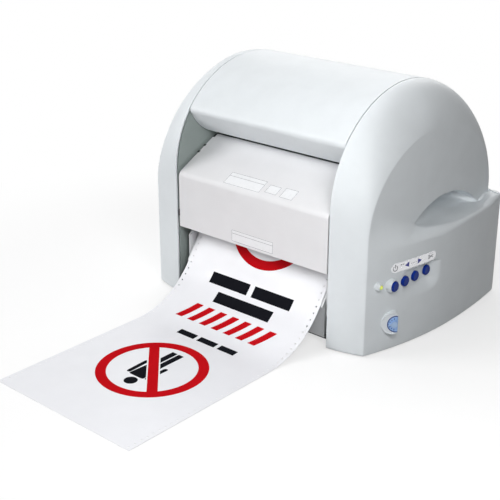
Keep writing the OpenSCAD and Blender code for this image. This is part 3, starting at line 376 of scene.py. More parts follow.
def ease(share: float) -> float:
    """Smooth step from 0 to 1 with level ends, for a share kept within 0 and 1."""
    return (1.0 - math.cos(math.pi * min(1.0, max(0.0, share)))) / 2.0


def mix(low: float, high: float, share: float) -> float:
    """Value at a share of the way from low to high."""
    return low + (high - low) * share


def ramp(value: float, start: float, length: float) -> float:
    """Smooth step that begins at a start and is full a length later."""
    return ease((value - start) / length)


def past(value: float, start: float, length: float) -> float:
    """How far a value lies past a start, in lengths, and 0 before it."""
    return max(0.0, (value - start) / length)


class Shop:
    """Turns points and faces into pieces that ride on a body."""

    turn_steps: int = 64

    @staticmethod
    def mesh(name: str, points: Sequence[Point],
             faces: Sequence[Sequence[int]]) -> bpy.types.Mesh:
        """Makes a mesh from points in millimetres about the housing's middle.

        Args:
            name: name of the mesh.
            points: x, y and z in millimetres, with y from the middle of the arch.
            faces: corner numbers of each face.

        Returns:
            The mesh in metres, in the frame's own place, with its faces turned outwards.
        """
        mesh = bpy.data.meshes.new(name)
        placed = [(x * MM, (y + HOUSING_Y) * MM, z * MM) for x, y, z in points]
        mesh.from_pydata(placed, [], [list(face) for face in faces])
        form = bmesh.new()
        form.from_mesh(mesh)
        bmesh.ops.remove_doubles(form, verts=form.verts, dist=WELD)
        bmesh.ops.recalc_face_normals(form, faces=form.faces)
        if form.calc_volume(signed=True) < 0:
            bmesh.ops.reverse_faces(form, faces=form.faces)
        form.to_mesh(mesh)
        form.free()
        return mesh

    @staticmethod
    def piece(mesh: bpy.types.Mesh, slot: str, body: str, finish: Finish | None = None,
              sharp: float = 40.0) -> bpy.types.Object:
        """Links a mesh as a piece with its finish, taken from its slot when none is given, and the
        body it rides on.

        Args:
            mesh: the piece's mesh.
            slot: the record's material slot.
            body: the CAD body that carries it.
            finish: the finish, or none for the slot's own.
            sharp: edges that turn by more degrees than this stay crisp.

        Returns:
            The piece.
        """
        piece = bpy.data.objects.new(mesh.name, mesh)
        bpy.context.collection.objects.link(piece)
        mesh.materials.clear()
        mesh.materials.append((finish or FINISHES[slot]).material())
        mesh.shade_smooth()
        mesh.set_sharp_from_angle(angle=math.radians(sharp))
        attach(piece, body)
        LOG.info("built %s", piece.name)
        return piece

    @staticmethod
    def loft(name: str, rings: Sequence[Sequence[Point]], hollow: bool = False) -> bpy.types.Mesh:
        """Skins rings of points, with the ends capped or, for a hollow ring, joined.

        Args:
            name: name of the mesh.
            rings: rings with equal numbers of points, in millimetres.
            hollow: whether the last ring joins the first.

        Returns:
            The closed mesh.
        """
        count, total = len(rings[0]), len(rings)
        loops = list(rings) + ([rings[0]] if hollow else [])
        points = [point for ring in loops for point in ring]
        faces = grid_faces(len(loops), count, closed=True)
        if not hollow:
            faces += [list(range(count)), list(range((total - 1) * count, total * count))]
        return Shop.mesh(name, points, faces)

    @staticmethod
    def turned(name: str, centre: Flat, profile: Sequence[Flat],
               hollow: bool = False) -> bpy.types.Mesh:
        """Turns a profile about an axis along the width.

        Args:
            name: name of the mesh.
            centre: y and z of the axis.
            profile: x and radius of each ring.
            hollow: whether the profile closes on itself.

        Returns:
            The closed mesh.
        """
        y, z = centre
        turns = [math.tau * step / Shop.turn_steps for step in range(Shop.turn_steps)]
        rings = [[(x, y + radius * math.cos(turn), z + radius * math.sin(turn)) for turn in turns]
                 for x, radius in profile]
        return Shop.loft(name, rings, hollow)

    @staticmethod
    def slab(name: str, art: "Artwork", place: Placer, low: float, high: float) -> bpy.types.Mesh:
        """Makes flat shapes into a thin closed mesh that lies on a surface.

        Args:
            name: name of the mesh.
            art: the flat shapes.
            place: turns two flat coordinates and a height into a point.
            low: height of the underside.
            high: height of the upper side.

        Returns:
            The closed mesh.
        """
        count = len(art.points)
        points = [place(u, v, height) for height in (high, low) for u, v in art.points]
        faces = [list(face) for face in art.faces]
        faces += [[i + count for i in reversed(face)] for face in art.faces]
        uses: dict[tuple[int, int], list[tuple[int, int]]] = {}
        for face in art.faces:
            for a, b in zip(face, list(face[1:]) + [face[0]]):
                uses.setdefault((min(a, b), max(a, b)), []).append((a, b))
        for ways in uses.values():
            if len(ways) == 1:
                a, b = ways[0]
                faces.append([b, a, a + count, b + count])
        return Shop.mesh(name, points, faces)

    @staticmethod
    def join(name: str, meshes: Sequence[bpy.types.Mesh]) -> bpy.types.Mesh:
        """Puts several meshes into one.

        Args:
            name: name of the new mesh.
            meshes: the meshes, which are used up.

        Returns:
            The joined mesh.
        """
        form = bmesh.new()
        for mesh in meshes:
            form.from_mesh(mesh)
            bpy.data.meshes.remove(mesh)
        made = bpy.data.meshes.new(name)
        form.to_mesh(made)
        form.free()
        return made

    @staticmethod
    def carve(mesh: bpy.types.Mesh, cutters: Sequence[bpy.types.Mesh]) -> bpy.types.Mesh:
        """Cuts closed meshes out of a closed mesh.

        Args:
            mesh: the mesh to cut.
            cutters: what is taken away.

        Returns:
            The cut mesh, under the first mesh's name.
        """
        name = mesh.name
        body = bpy.data.objects.new("carved", mesh)
        bpy.context.collection.objects.link(body)
        tools = []
        for cutter in cutters:
            tool = bpy.data.objects.new("cutter", cutter)
            bpy.context.collection.objects.link(tool)
            step = body.modifiers.new("cut", "BOOLEAN")
            step.operation = "DIFFERENCE"
            step.solver = "MANIFOLD"
            step.object = tool
            tools.append(tool)
        bpy.context.view_layer.update()
        shape = body.evaluated_get(bpy.context.evaluated_depsgraph_get())
        made = bpy.data.meshes.new_from_object(shape)
        for used in [body, *tools]:
            bpy.data.objects.remove(used)
        for spent in [mesh, *cutters]:
            bpy.data.meshes.remove(spent)
        made.name = name
        return made


def grid_faces(rows: int, columns: int, closed: bool = False) -> list[list[int]]:
    """Quads of a grid whose points are listed row by row.

    Args:
        rows: number of rows of points.
        columns: points in each row.
        closed: whether each row's last point joins its first.

    Returns:
        Corner numbers of the quads.
    """
    faces = []
    for row in range(rows - 1):
        for column in range(columns if closed else columns - 1):
            after = (column + 1) % columns
            near, far = row * columns, (row + 1) * columns
            faces.append([near + column, near + after, far + after, far + column])
    return faces


class Artwork:
    """Flat shapes, in millimetres, gathered for one thin piece."""

    def __init__(self) -> None:
        """Starts with nothing drawn."""
        self.points: list[Flat] = []
        self.faces: list[list[int]] = []
        self.known: dict[Flat, int] = {}

    def point(self, u: float, v: float) -> int:
        """Number of a point, which is shared by all shapes that meet there.

        Args:
            u: first coordinate.
            v: second coordinate.

        Returns:
            The point's number.
        """
        key = (round(u, 4), round(v, 4))
        if key not in self.known:
            self.known[key] = len(self.points)
            self.points.append((u, v))
        return self.known[key]

    def shape(self, outline: Sequence[Flat]) -> "Artwork":
        """Fills one outline with a single face."""
        self.faces.append([self.point(u, v) for u, v in outline])
        return self

    def patch(self, rows: Sequence[Sequence[Flat]]) -> "Artwork":
        """Fills a grid of points given row by row.

        Args:
            rows: the rows, with equal numbers of points.

        Returns:
            The artwork itself.
        """
        for near, far in zip(rows, rows[1:]):
            for i in range(len(near) - 1):
                self.shape([near[i], near[i + 1], far[i + 1], far[i]])
        return self

    def bar(self, low: Flat, high: Flat, step: float = 3.0, lean: float = 0.0) -> "Artwork":
        """Draws an upright or leaning bar in short rows.

        Args:
            low: its lower corner.
            high: its upper corner.
            step: longest row.
            lean: how far the upper end is pushed sideways.

        Returns:
            The artwork itself.
        """
        count = max(1, math.ceil((high[1] - low[1]) / step))
        rows = []
        for i in range(count + 1):
            push, v = lean * i / count, mix(low[1], high[1], i / count)
            rows.append([(low[0] + push, v), (high[0] + push, v)])
        return self.patch(rows)

    def ring(self, centre: Flat, inner: float, outer: float, turns: Flat = (0.0, 360.0),
             steps: int = 96) -> "Artwork":
        """Draws a ring or part of one.

        Args:
            centre: its middle.
            inner: inner radius.
            outer: outer radius.
            turns: first and last angle in degrees.
            steps: faces along it.

        Returns:
            The artwork itself.
        """
        angles = [math.radians(mix(turns[0], turns[1], i / steps)) for i in range(steps + 1)]
        u, v = centre
        return self.patch([[(u + radius * math.cos(a), v + radius * math.sin(a)) for a in angles]
                           for radius in (inner, (inner + outer) / 2, outer)])

    def disc(self, centre: Flat, radius: float, steps: int = 40) -> "Artwork":
        """Draws a filled disc.

        Args:
            centre: its middle.
            radius: its radius.
            steps: points round its edge.

        Returns:
            The artwork itself.
        """
        u, v = centre
        turns = [math.tau * i / steps for i in range(steps)]
        return self.shape([(u + radius * math.cos(t), v + radius * math.sin(t)) for t in turns])

    def stroke(self, start: Flat, end: Flat, width: float,
               round_ends: bool = True) -> "Artwork":
        """Draws a straight thick line.

        Args:
            start: one end.
            end: the other end.
            width: its thickness.
            round_ends: whether its ends are half round.

        Returns:
            The artwork itself.
        """
        way = math.atan2(end[1] - start[1], end[0] - start[0])
        half, steps, outline = width / 2, 10 if round_ends else 1, []
        for (u, v), base in ((end, way - math.pi / 2), (start, way + math.pi / 2)):
            turns = [base + math.pi * i / steps for i in range(steps + 1)]
            outline += [(u + half * math.cos(t), v + half * math.sin(t)) for t in turns]
        return self.shape(outline)

    def pierced(self, low: Flat, high: Flat, centre: Flat, radius: float) -> "Artwork":
        """Draws a cell with a round hole, whose sides are cut in thirds.

        Args:
            low: lower corner.
            high: upper corner.
            centre: middle of the hole.
            radius: the hole's radius.

        Returns:
            The artwork itself.
        """
        corners = [low, (high[0], low[1]), high, (low[0], high[1])]
        border, (u, v) = [], centre
        for a, b in zip(corners, corners[1:] + corners[:1]):
            border += [(mix(a[0], b[0], part / 3), mix(a[1], b[1], part / 3)) for part in range(3)]
        turns = [math.radians(-135.0 + 15.0 * i) for i in range(24)]
        hole = [(u + radius * math.cos(t), v + radius * math.sin(t)) for t in turns]
        for k in range(12):
            self.shape([border[k], border[(k + 1) % 12], hole[(2 * k + 2) % 24], hole[2 * k + 1],
                        hole[2 * k]])
        return self

    def frame(self, low: Flat, high: Flat, line: float) -> "Artwork":
        """Draws the outline of an upright rectangle with a line of the given thickness.

        Args:
            low: its lower corner.
            high: its upper corner.
            line: the line's thickness.

        Returns:
            The artwork itself.
        """
        rims = [[low, (high[0], low[1]), high, (low[0], high[1]), low]]
        inner, outer = (low[0] + line, low[1] + line), (high[0] - line, high[1] - line)
        rims.append([inner, (outer[0], inner[1]), outer, (inner[0], outer[1]), inner])
        return self.patch(rims)


class Side(Enum):
    """The two ends of the printer, as signs along the width."""

    RIGHT = 1
    LEFT = -1

    @property
    def word(self) -> str:
        """The side's name as the pieces carry it."""
        return self.name.lower()


class Zone(Enum):
    """Zones of a side cover, from the seam outwards."""

    RIM = "rim"
    BAND = "band"
    FLAT = "flat"


@dataclass
class SideCover:
    """Moulded side cover: bevelled arch, flat side, barrel-shaped block and key recess."""

    side: Side = Side.RIGHT
    wall: float = 2.6
    crisp_angle: float = 42.0
    seam_x: float = 113.0
    seam_rims: tuple[Flat, Flat] = ((0.0, 0.8), (0.25, 0.25))
    seam_slack: float = 0.02
    bevel_width: float = 43.0
    bevel_depth: float = 11.0
    band_run: Span = (0.02, 0.96)
    band_bend: Flat = (0.45, 0.55)
    band_rings: int = 22
    half_depth: float = 133.0
    spring: float = 158.5
    top: float = 278.0
    crown_drop: float = 45.5
    crown_run: Span = (2.0, 24.0)
    front_turn: float = 58.0
    crown_turn: float = 88.0
    rear_turn: float = 84.0
    crease_lag: float = 24.5
    crease_ease: float = 0.5
    flat_sag: float = 4.0
    join_z: float = 130.0
    arc_steps: int = 96
    leg_steps: int = 6
    floor_z: float = 1.5
    bottom_round: float = 3.0
    bottom_steps: int = 8
    bottom_seam: Flat = (1.0, 0.9)
    mitre_span: int = 6
    mitre_reach: float = 40.0
    side_x: float = 179.44
    bulge_y: float = 17.0
    front_radius: float = 422.83
    rear_radius: float = 752.06
    rear_corner: float = 12.0
    rear_steps: tuple[int, int] = (40, 24)
    crest_tops: Flat = (124.0, 128.5)
    crest_run: Span = (80.0, 32.0)
    front_rise: float = 6.0
    front_rise_run: Span = (-50.0, 75.0)
    rear_drop: float = 8.0
    rear_drop_run: Span = (119.0, 14.0)
    rear_drop_power: float = 2.5
    crest_falls: tuple[float, float, float] = (45.0, 11.0, 4.5)
    crest_powers: Flat = (2.0, 3.2)
    fade_top: float = 163.0
    fade_run: Span = (-122.0, 112.0)
    firm_run: Span = (-66.0, 66.0)
    rear_run: Span = (-30.0, 75.0)
    search_range: Flat = (60.0, 170.0)
    search_steps: int = 30
    groove_crown: Flat = (-38.0, 129.6)
    groove_bend: float = 0.002
    groove_depth: float = 1.7
    groove_front: Span = (-74.0, 32.0)
    groove_rear: Span = (-40.0, 12.0)
    groove_lip: Span = (-0.6, 1.4)
    groove_fade: Span = (1.0, 10.0)
    recess_floor: float = 169.5
    recess_rear: Span = (-33.0, 22.0)
    recess_top: Span = (88.0, 3.2)
    recess_foot: Span = (72.0, 17.0)
    power_hole: float = 7.75
    key_hole: float = 6.05
    lamp_hole: float = 3.2
    hole_ends: Flat = (150.0, 185.0)

    @property
    def flat_x(self) -> float:
        """Distance of the flat side from the middle plane."""
        return self.seam_x + self.bevel_width

    @property
    def crease_depth(self) -> float:
        """Half depth of the arch at the crease."""
        return self.half_depth - self.bevel_depth

    def barrel(self, y: float) -> float:
        """Distance of the block's barrel side from the middle plane."""
        radius = self.front_radius if y < self.bulge_y else self.rear_radius
        return self.side_x - radius + math.sqrt(radius ** 2 - (y - self.bulge_y) ** 2)

    def band(self, share: float, turn: float) -> tuple[float, float, float, float]:
        """Section of the bevelled band between seam and crease.

        Args:
            share: 0 at the seam, 1 at the crease.
            turn: degrees through which the band's profile bends; below 90 leaves a crease.

        Returns:
            Distance from the middle plane, half depth, spring height and top height.
        """
        along, across = self.band_bend

        def inward(angle: float) -> float:
            """How far the profile has come in after an angle."""
            return along * math.sin(angle) + across * (1 - math.cos(angle))

        here, full = math.radians(share * turn), math.radians(turn)
        drop = (1 - math.cos(here)) / (1 - math.cos(full))
        return (
            self.seam_x + self.bevel_width * math.sin(here) / math.sin(full),
            self.half_depth - self.bevel_depth * (inward(here) / inward(full)),
            self.spring - self.crease_lag * drop,
            self.top - self.crown_drop * drop,
        )

    def ledge(self, y: float) -> float:
        """Height of the block's upper edge along the depth.

        Args:
            y: place along the depth.

        Returns:
            The height.
        """
        rise = self.front_rise * (1.0 - ramp(y, *self.front_rise_run))
        drop = self.rear_drop * past(y, *self.rear_drop_run) ** self.rear_drop_power
        return mix(*self.crest_tops, ramp(y, *self.crest_run)) + (rise - drop)

    def crest(self, y: float, z: float) -> float:
        """Share of the block's bulge that stands at a place on the side.

        Args:
            y: place along the depth.
            z: height.

        Returns:
            1 on the block, 0 on the flat above it.
        """
        back, rear = ramp(y, *self.fade_run), ramp(y, *self.rear_run)
        ledge, (front_fall, grip_fall, rear_fall) = self.ledge(y), self.crest_falls
        top = mix(self.fade_top, ledge, back)
        soft = 1.0 - ease((z - top) / mix(front_fall, grip_fall, back) + 1.0)
        power = mix(*self.crest_powers, rear)
        climb = min(1.0, max(0.0, (z - ledge) / mix(grip_fall, rear_fall, rear) + 1.0))
        firm = (1.0 - climb ** power) ** (1 / power)
        return mix(soft, firm, ramp(y, *self.firm_run))

    def crest_height(self, y: float, share: float) -> float:
        """Height at which a given share of the block's bulge stands.

        Args:
            y: place along the depth.
            share: the share, above 0 and below 1.

        Returns:
            The height.
        """
        low, high = self.search_range
        for _ in range(self.search_steps):
            middle = (low + high) / 2
            low, high = (middle, high) if self.crest(y, middle) > share else (low, middle)
        return low

    def groove(self, y: float, z: float) -> float:
        """How far the side steps in below the front end of the grip's roof line.

        Args:
            y: place along the depth.
            z: height.

        Returns:
            Depth of the step in millimetres.
        """
        crown_y, crown_z = self.groove_crown
        below = crown_z - self.groove_bend * (y - crown_y) ** 2 - z
        run = ramp(y, *self.groove_front) * (1.0 - ramp(y, *self.groove_rear))
        lip, fade = ramp(below, *self.groove_lip), 1.0 - ramp(below, *self.groove_fade)
        return self.groove_depth * run * lip * fade

    def recess(self, y: float, z: float) -> float:
        """Share of the key recess at a place, steep above and soft below.

        Args:
            y: place along the depth.
            z: height.

        Returns:
            1 on the recess's floor, 0 outside it.
        """
        if self.side is Side.LEFT:
            return 0.0
        foot, softness = self.recess_foot
        tall = max(past(z, *self.recess_top), (foot - z) / softness)
        return 1.0 - ease(math.hypot(past(y, *self.recess_rear), tall))

    def sunk(self, x: float, y: float, z: float) -> float:
        """Distance from the middle plane once the key recess is pressed in."""
        return x - self.recess(y, z) * max(0.0, x - self.recess_floor)

    def flat_shares(self) -> list[float]:
        """Shares from behind the crease to the side's middle, close together along the keys.

        Returns:
            The shares.
        """
        corner = [-121.3, -120.2, -118.8, -117.2, -115.4, -113.5, -111.4, -109.2, -107.0, -104.7]
        keys = [-102.4] + [-100.0 + 1.6 * step for step in range(60)]
        return [1.0 + y / self.crease_depth for y in [*corner, *keys, -3.0, 0.0]]

    @staticmethod
    def heights() -> list[float]:
        """Heights of the lower rows, from below the join down to the bottom rounding.

        Returns:
            The heights.
        """
        crest = [129.0, 128.2, 127.5, 127.45, 127.3, 127.0, 126.5, 125.8, 125.0]
        crest += [124.0 - step for step in range(16)]
        side = [106.5, 105.0, 103.0, 101.0, 99.0, 97.0, 94.0, 91.5]
        keys = [90.0 - 0.7 * step for step in range(10)] + [82.5 - 1.6 * step for step in range(18)]
        foot = [53.0, 49.0, 44.0, 39.0, 34.0, 29.0, 24.0, 19.0, 14.0, 9.0, 4.5]
        return crest + side + keys + foot

    def build(self) -> bpy.types.Object:
        """Builds the cover, cuts its openings and gives it its wall.

        Returns:
            The cover as a piece that stands for the CAD cover.
        """
        points, faces = self.skin()
        placed = [(self.side.value * x, y, z) for x, y, z in points]
        mesh = Shop.carve(Shop.mesh(f"{self.side.word}_cover", placed, faces), self.cutters())
        self.open_seam(mesh)
        piece = Shop.piece(mesh, "cover", "housing", sharp=self.crisp_angle)
        shell = piece.modifiers.new("wall", "SOLIDIFY")
        shell.thickness = self.wall * MM
        shell.offset = -1.0
        shell.use_even_offset = False
        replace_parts(piece, f"{self.side.word}_side_cover")
        return piece

    def open_seam(self, mesh: bpy.types.Mesh) -> None:
        """Takes away the faces in the seam's plane, which leaves an open skin.

        Args:
            mesh: the carved cover, changed in place.
        """
        seam, slack = self.seam_x * MM, self.seam_slack * MM
        form = bmesh.new()
        form.from_mesh(mesh)
        inner = [face for face in form.faces
                 if all(abs(abs(vert.co.x) - seam) < slack for vert in face.verts)]
        bmesh.ops.delete(form, geom=inner, context="FACES")
        bmesh.ops.remove_doubles(form, verts=form.verts, dist=2 * WELD)
        form.to_mesh(mesh)
        form.free()

    def skin(self) -> tuple[list[Point], list[list[int]]]:
        """Outer skin of the cover with its inner plane and bottom closed.

        Returns:
            Points in millimetres and the faces between them.
        """
        begin, reach = self.band_run
        shares = [begin + reach * step / self.band_rings for step in range(self.band_rings + 1)]
        shares.append(1.0)
        flats = self.flat_shares()
        upper = [self.arch_ring(Zone.RIM, *rim) for rim in self.seam_rims]
        upper += [self.arch_ring(Zone.BAND, share) for share in shares]
        upper += [self.arch_ring(Zone.FLAT, share) for share in flats]
        self.round_crease(upper, len(self.seam_rims) + len(shares) - 1)
        plan_flat, plan_block = self.plans(shares, flats)
        lower = [self.row(plan_flat, plan_block, z) for z in self.heights()]
        lower += self.bottom_rows(plan_block)
        columns, rings = len(upper[0]), len(upper)
        points = [point for ring in upper for point in ring]
        faces = grid_faces(rings, columns)
        first = [ring * columns for ring in range(rings)]
        last = [ring * columns + columns - 1 for ring in range(rings)]
        grid = [first + last[-2::-1]]
        for row in lower:
            grid.append(list(range(len(points), len(points) + len(row))))
            points += row
        for above, below in zip(grid, grid[1:]):
            faces += [[above[i], above[i + 1], below[i + 1], below[i]]
                      for i in range(len(below) - 1)]
        faces.append(list(grid[-1]))
        front, rear = [row[0] for row in reversed(grid)], [row[-1] for row in grid[1:]]
        faces.append(front + list(range(1, columns)) + rear)
        return points, faces

    def turn_at(self, angle: float) -> float:
        """Bend of the band at an angle round the arch, 180 at the front and 0 at the back."""
        end = self.front_turn if angle > 90 else self.rear_turn
        return mix(self.crown_turn, end, ramp(abs(angle - 90), *self.crown_run))

    def arch_ring(self, zone: Zone, share: float, inset: float = 0.0) -> list[Point]:
        """One arch from the front join over the crown to the rear join.

        Args:
            zone: the zone that the arch lies in.
            share: offset from the seam, share of the band or share of the flat.
            inset: how far a rim lies inside the seam's outline.

        Returns:
            Points from front to back.
        """
        angles = [180.0] * self.leg_steps
        angles += [180.0 - 180.0 * step / self.arc_steps for step in range(self.arc_steps + 1)]
        angles += [0.0] * self.leg_steps
        count = len(angles)
        ring = []
        for i, angle in enumerate(angles):
            if zone is Zone.FLAT:
                x, depth = self.flat_x, self.crease_depth * (1 - share)
                spring = self.spring - self.crease_lag - self.flat_sag * share
                rise = self.top - self.crown_drop - self.spring + self.crease_lag
                top = spring + rise * (1 - share)
            elif zone is Zone.RIM:
                x, depth = self.seam_x + share, self.half_depth - inset
                spring, top = self.spring, self.top - inset
            else:
                x, depth, spring, top = self.band(share, self.turn_at(angle))
            leg = min(1.0, min(i, count - 1 - i) / self.leg_steps)
            turn = math.radians(angle)
            if leg < 1.0:
                y, z = math.copysign(depth, math.cos(turn)), mix(self.join_z, spring, leg)
            else:
                y, z = depth * math.cos(turn), spring + (top - spring) * math.sin(turn)
            if zone is Zone.FLAT:
                x += self.crest(y, z) * max(0.0, self.barrel(y) - self.flat_x) - self.groove(y, z)
            ring.append((x, y, z))
        return ring

    def eased(self, before: Sequence[float], own: Sequence[float],
              after: Sequence[float]) -> tuple[float, ...]:
        """Place of a crease's point once it is moved towards its neighbours."""
        return tuple(mix(c, (a + b) / 2, self.crease_ease) for a, c, b in zip(before, own, after))

    def round_crease(self, rings: list[list[Point]], crease: int) -> None:
        """Takes the point off the crease by moving it towards its neighbours.

        Args:
            rings: all arches, changed in place.
            crease: number of the crease's ring.
        """
        near, own, far = rings[crease - 1:crease + 2]
        rings[crease] = [self.eased(*points) for points in zip(near, own, far)]

    def plans(self, shares: Sequence[float],
              flats: Sequence[float]) -> tuple[list[Flat], list[Flat]]:
        """Plan outlines of the flat cover and of the block, with one point for each column.

        Args:
            shares: shares across the band.
            flats: shares across half the flat side.

        Returns:
            The outline above the block and the outline of the block, from front to back.
        """
        middle = len(self.seam_rims) + len(shares)

        def half(sign: int, turn: float) -> list[Flat]:
            """Columns from the seam to the middle on the front or the rear half.

            Args:
                sign: -1 for the front half, 1 for the rear one.
                turn: bend of the band's profile.

            Returns:
                Plan points of the columns.
            """
            line = [(self.seam_x + out, sign * (self.half_depth - inset))
                    for out, inset in self.seam_rims]
            for share in shares:
                x, depth, _, _ = self.band(share, turn)
                line.append((x, sign * depth))
            line += [(self.flat_x, sign * self.crease_depth * (1 - share)) for share in flats]
            line[middle - 1] = self.eased(*line[middle - 2:middle + 1])
            return line

        front, rear = half(-1, self.front_turn), half(1, self.rear_turn)
        flat = front + rear[-2::-1]
        block = list(front[:middle])
        block += [(max(self.flat_x, self.barrel(y)), y) for _, y in front[middle:]]
        lengths, total, before = [], 0.0, (self.flat_x, 0.0)
        for place in flat[len(front):]:
            total += math.dist(before, place)
            lengths.append(total)
            before = place
        path = self.rear_path()
        block += [self.along(path, length / total) for length in lengths]
        return flat, block

    def rear_path(self) -> list[Flat]:
        """Block outline from the middle of the side round the rear corner to the seam.

        Returns:
            Points of the outline.
        """
        radius, cy = self.rear_corner, self.half_depth - self.rear_corner
        begin = math.asin((cy - self.bulge_y) / (self.rear_radius - radius))
        cx = self.side_x - self.rear_radius + (self.rear_radius - radius) * math.cos(begin)
        end_y = self.bulge_y + self.rear_radius * math.sin(begin)
        side_steps, corner_steps = self.rear_steps
        side = [end_y * step / side_steps for step in range(side_steps + 1)]
        turns = [mix(begin, math.pi / 2, step / corner_steps)
                 for step in range(1, corner_steps + 1)]
        path = [(self.barrel(y), y) for y in side]
        path += [(cx + radius * math.cos(turn), cy + radius * math.sin(turn)) for turn in turns]
        path.append((self.seam_x + self.seam_rims[0][1], self.half_depth))
        return path + [(self.seam_x + out, self.half_depth - inset)
                       for out, inset in reversed(self.seam_rims)]

    @staticmethod
    def along(path: Sequence[Flat], share: float) -> Flat:
        """Point at a share of a path's length.

        Args:
            path: the path's points.
            share: 0 at its start, 1 at its end.

        Returns:
            The point.
        """
        lengths = [math.dist(a, b) for a, b in zip(path, path[1:])]
        left = share * sum(lengths)
        for (a, b), length in zip(zip(path, path[1:]), lengths):
            if left <= length:
                return (mix(a[0], b[0], left / length), mix(a[1], b[1], left / length))
            left -= length
        return path[-1]

    def row(self, flat: Sequence[Flat], block: Sequence[Flat], z: float) -> list[Point]:
        """One level row of the lower part.

        Args:
            flat: outline above the block.
            block: outline of the block.
            z: height of the row.

        Returns:
            Points from front to back.
        """
        row = []
        for (fx, fy), (bx, by) in zip(flat, block):
            share = self.crest(fy, z)
            x, y = mix(fx, bx, share), mix(fy, by, share)
            row.append((self.sunk(x, y, z) - self.groove(y, z), y, z))
        return row

    def bottom_rows(self, block: Sequence[Flat]) -> list[list[Point]]:
        """Rows of the rounded bottom edge.

        Args:
            block: outline of the block.

        Returns:
            Rows from the lower end of the side to the bottom.
        """
        count, ends = len(block), len(self.seam_rims) + 1
        corner, (seam_zone, seam_least) = (self.flat_x, -self.crease_depth), self.bottom_seam
        inward = []
        for i in range(count):
            a, b = block[max(0, i - 1)], block[min(count - 1, i + 1)]
            size = math.dist(a, b)
            inward.append(Vector(((a[1] - b[1]) / size, (b[0] - a[0]) / size)))
        crease = min(range(count // 2), key=lambda i: math.dist(block[i], corner))
        before, after = inward[crease - self.mitre_span], inward[crease + self.mitre_span]
        mitre = (before + after) / (1.0 + before.dot(after))
        rows = []
        for step in range(1, self.bottom_steps + 1):
            angle = math.radians(90 * step / self.bottom_steps)
            inset = self.bottom_round * (1 - math.cos(angle))
            z = self.floor_z + self.bottom_round * (1 - math.sin(angle))
            row = []
            for i, (x, y) in enumerate(block):
                near = max(0.0, 1.0 - math.dist((x, y), block[crease]) / self.mitre_reach)
                move = inward[i].lerp(mitre, near)
                if not ends <= i < count - ends:
                    move = Vector((0.0, -math.copysign(1.0, y)))
                least = x if x < self.seam_x + seam_zone else self.seam_x + seam_least
                row.append((max(least, x + inset * move.x), y + inset * move.y, z))
            rows.append(row)
        return rows

    def cutters(self) -> list[bpy.types.Mesh]:
        """Closed meshes that cut the hand grip and, on the right, the holes of keys and lamp.

        Returns:
            The meshes.
        """
        hollow = HandGrip(self).hollow()
        if self.side is Side.LEFT:
            return [hollow]
        holes = [(KEY_PLACES[0], KEY_Z, self.power_hole)]
        holes += [(y, KEY_Z, self.key_hole) for y in KEY_PLACES[1:]]
        holes.append((LAMP_PLACE, LAMP_Z, self.lamp_hole))
        cuts = [Shop.turned("key_hole", (y, z), [(x, radius) for x in self.hole_ends])
                for y, z, radius in holes]
        return [hollow, *cuts]


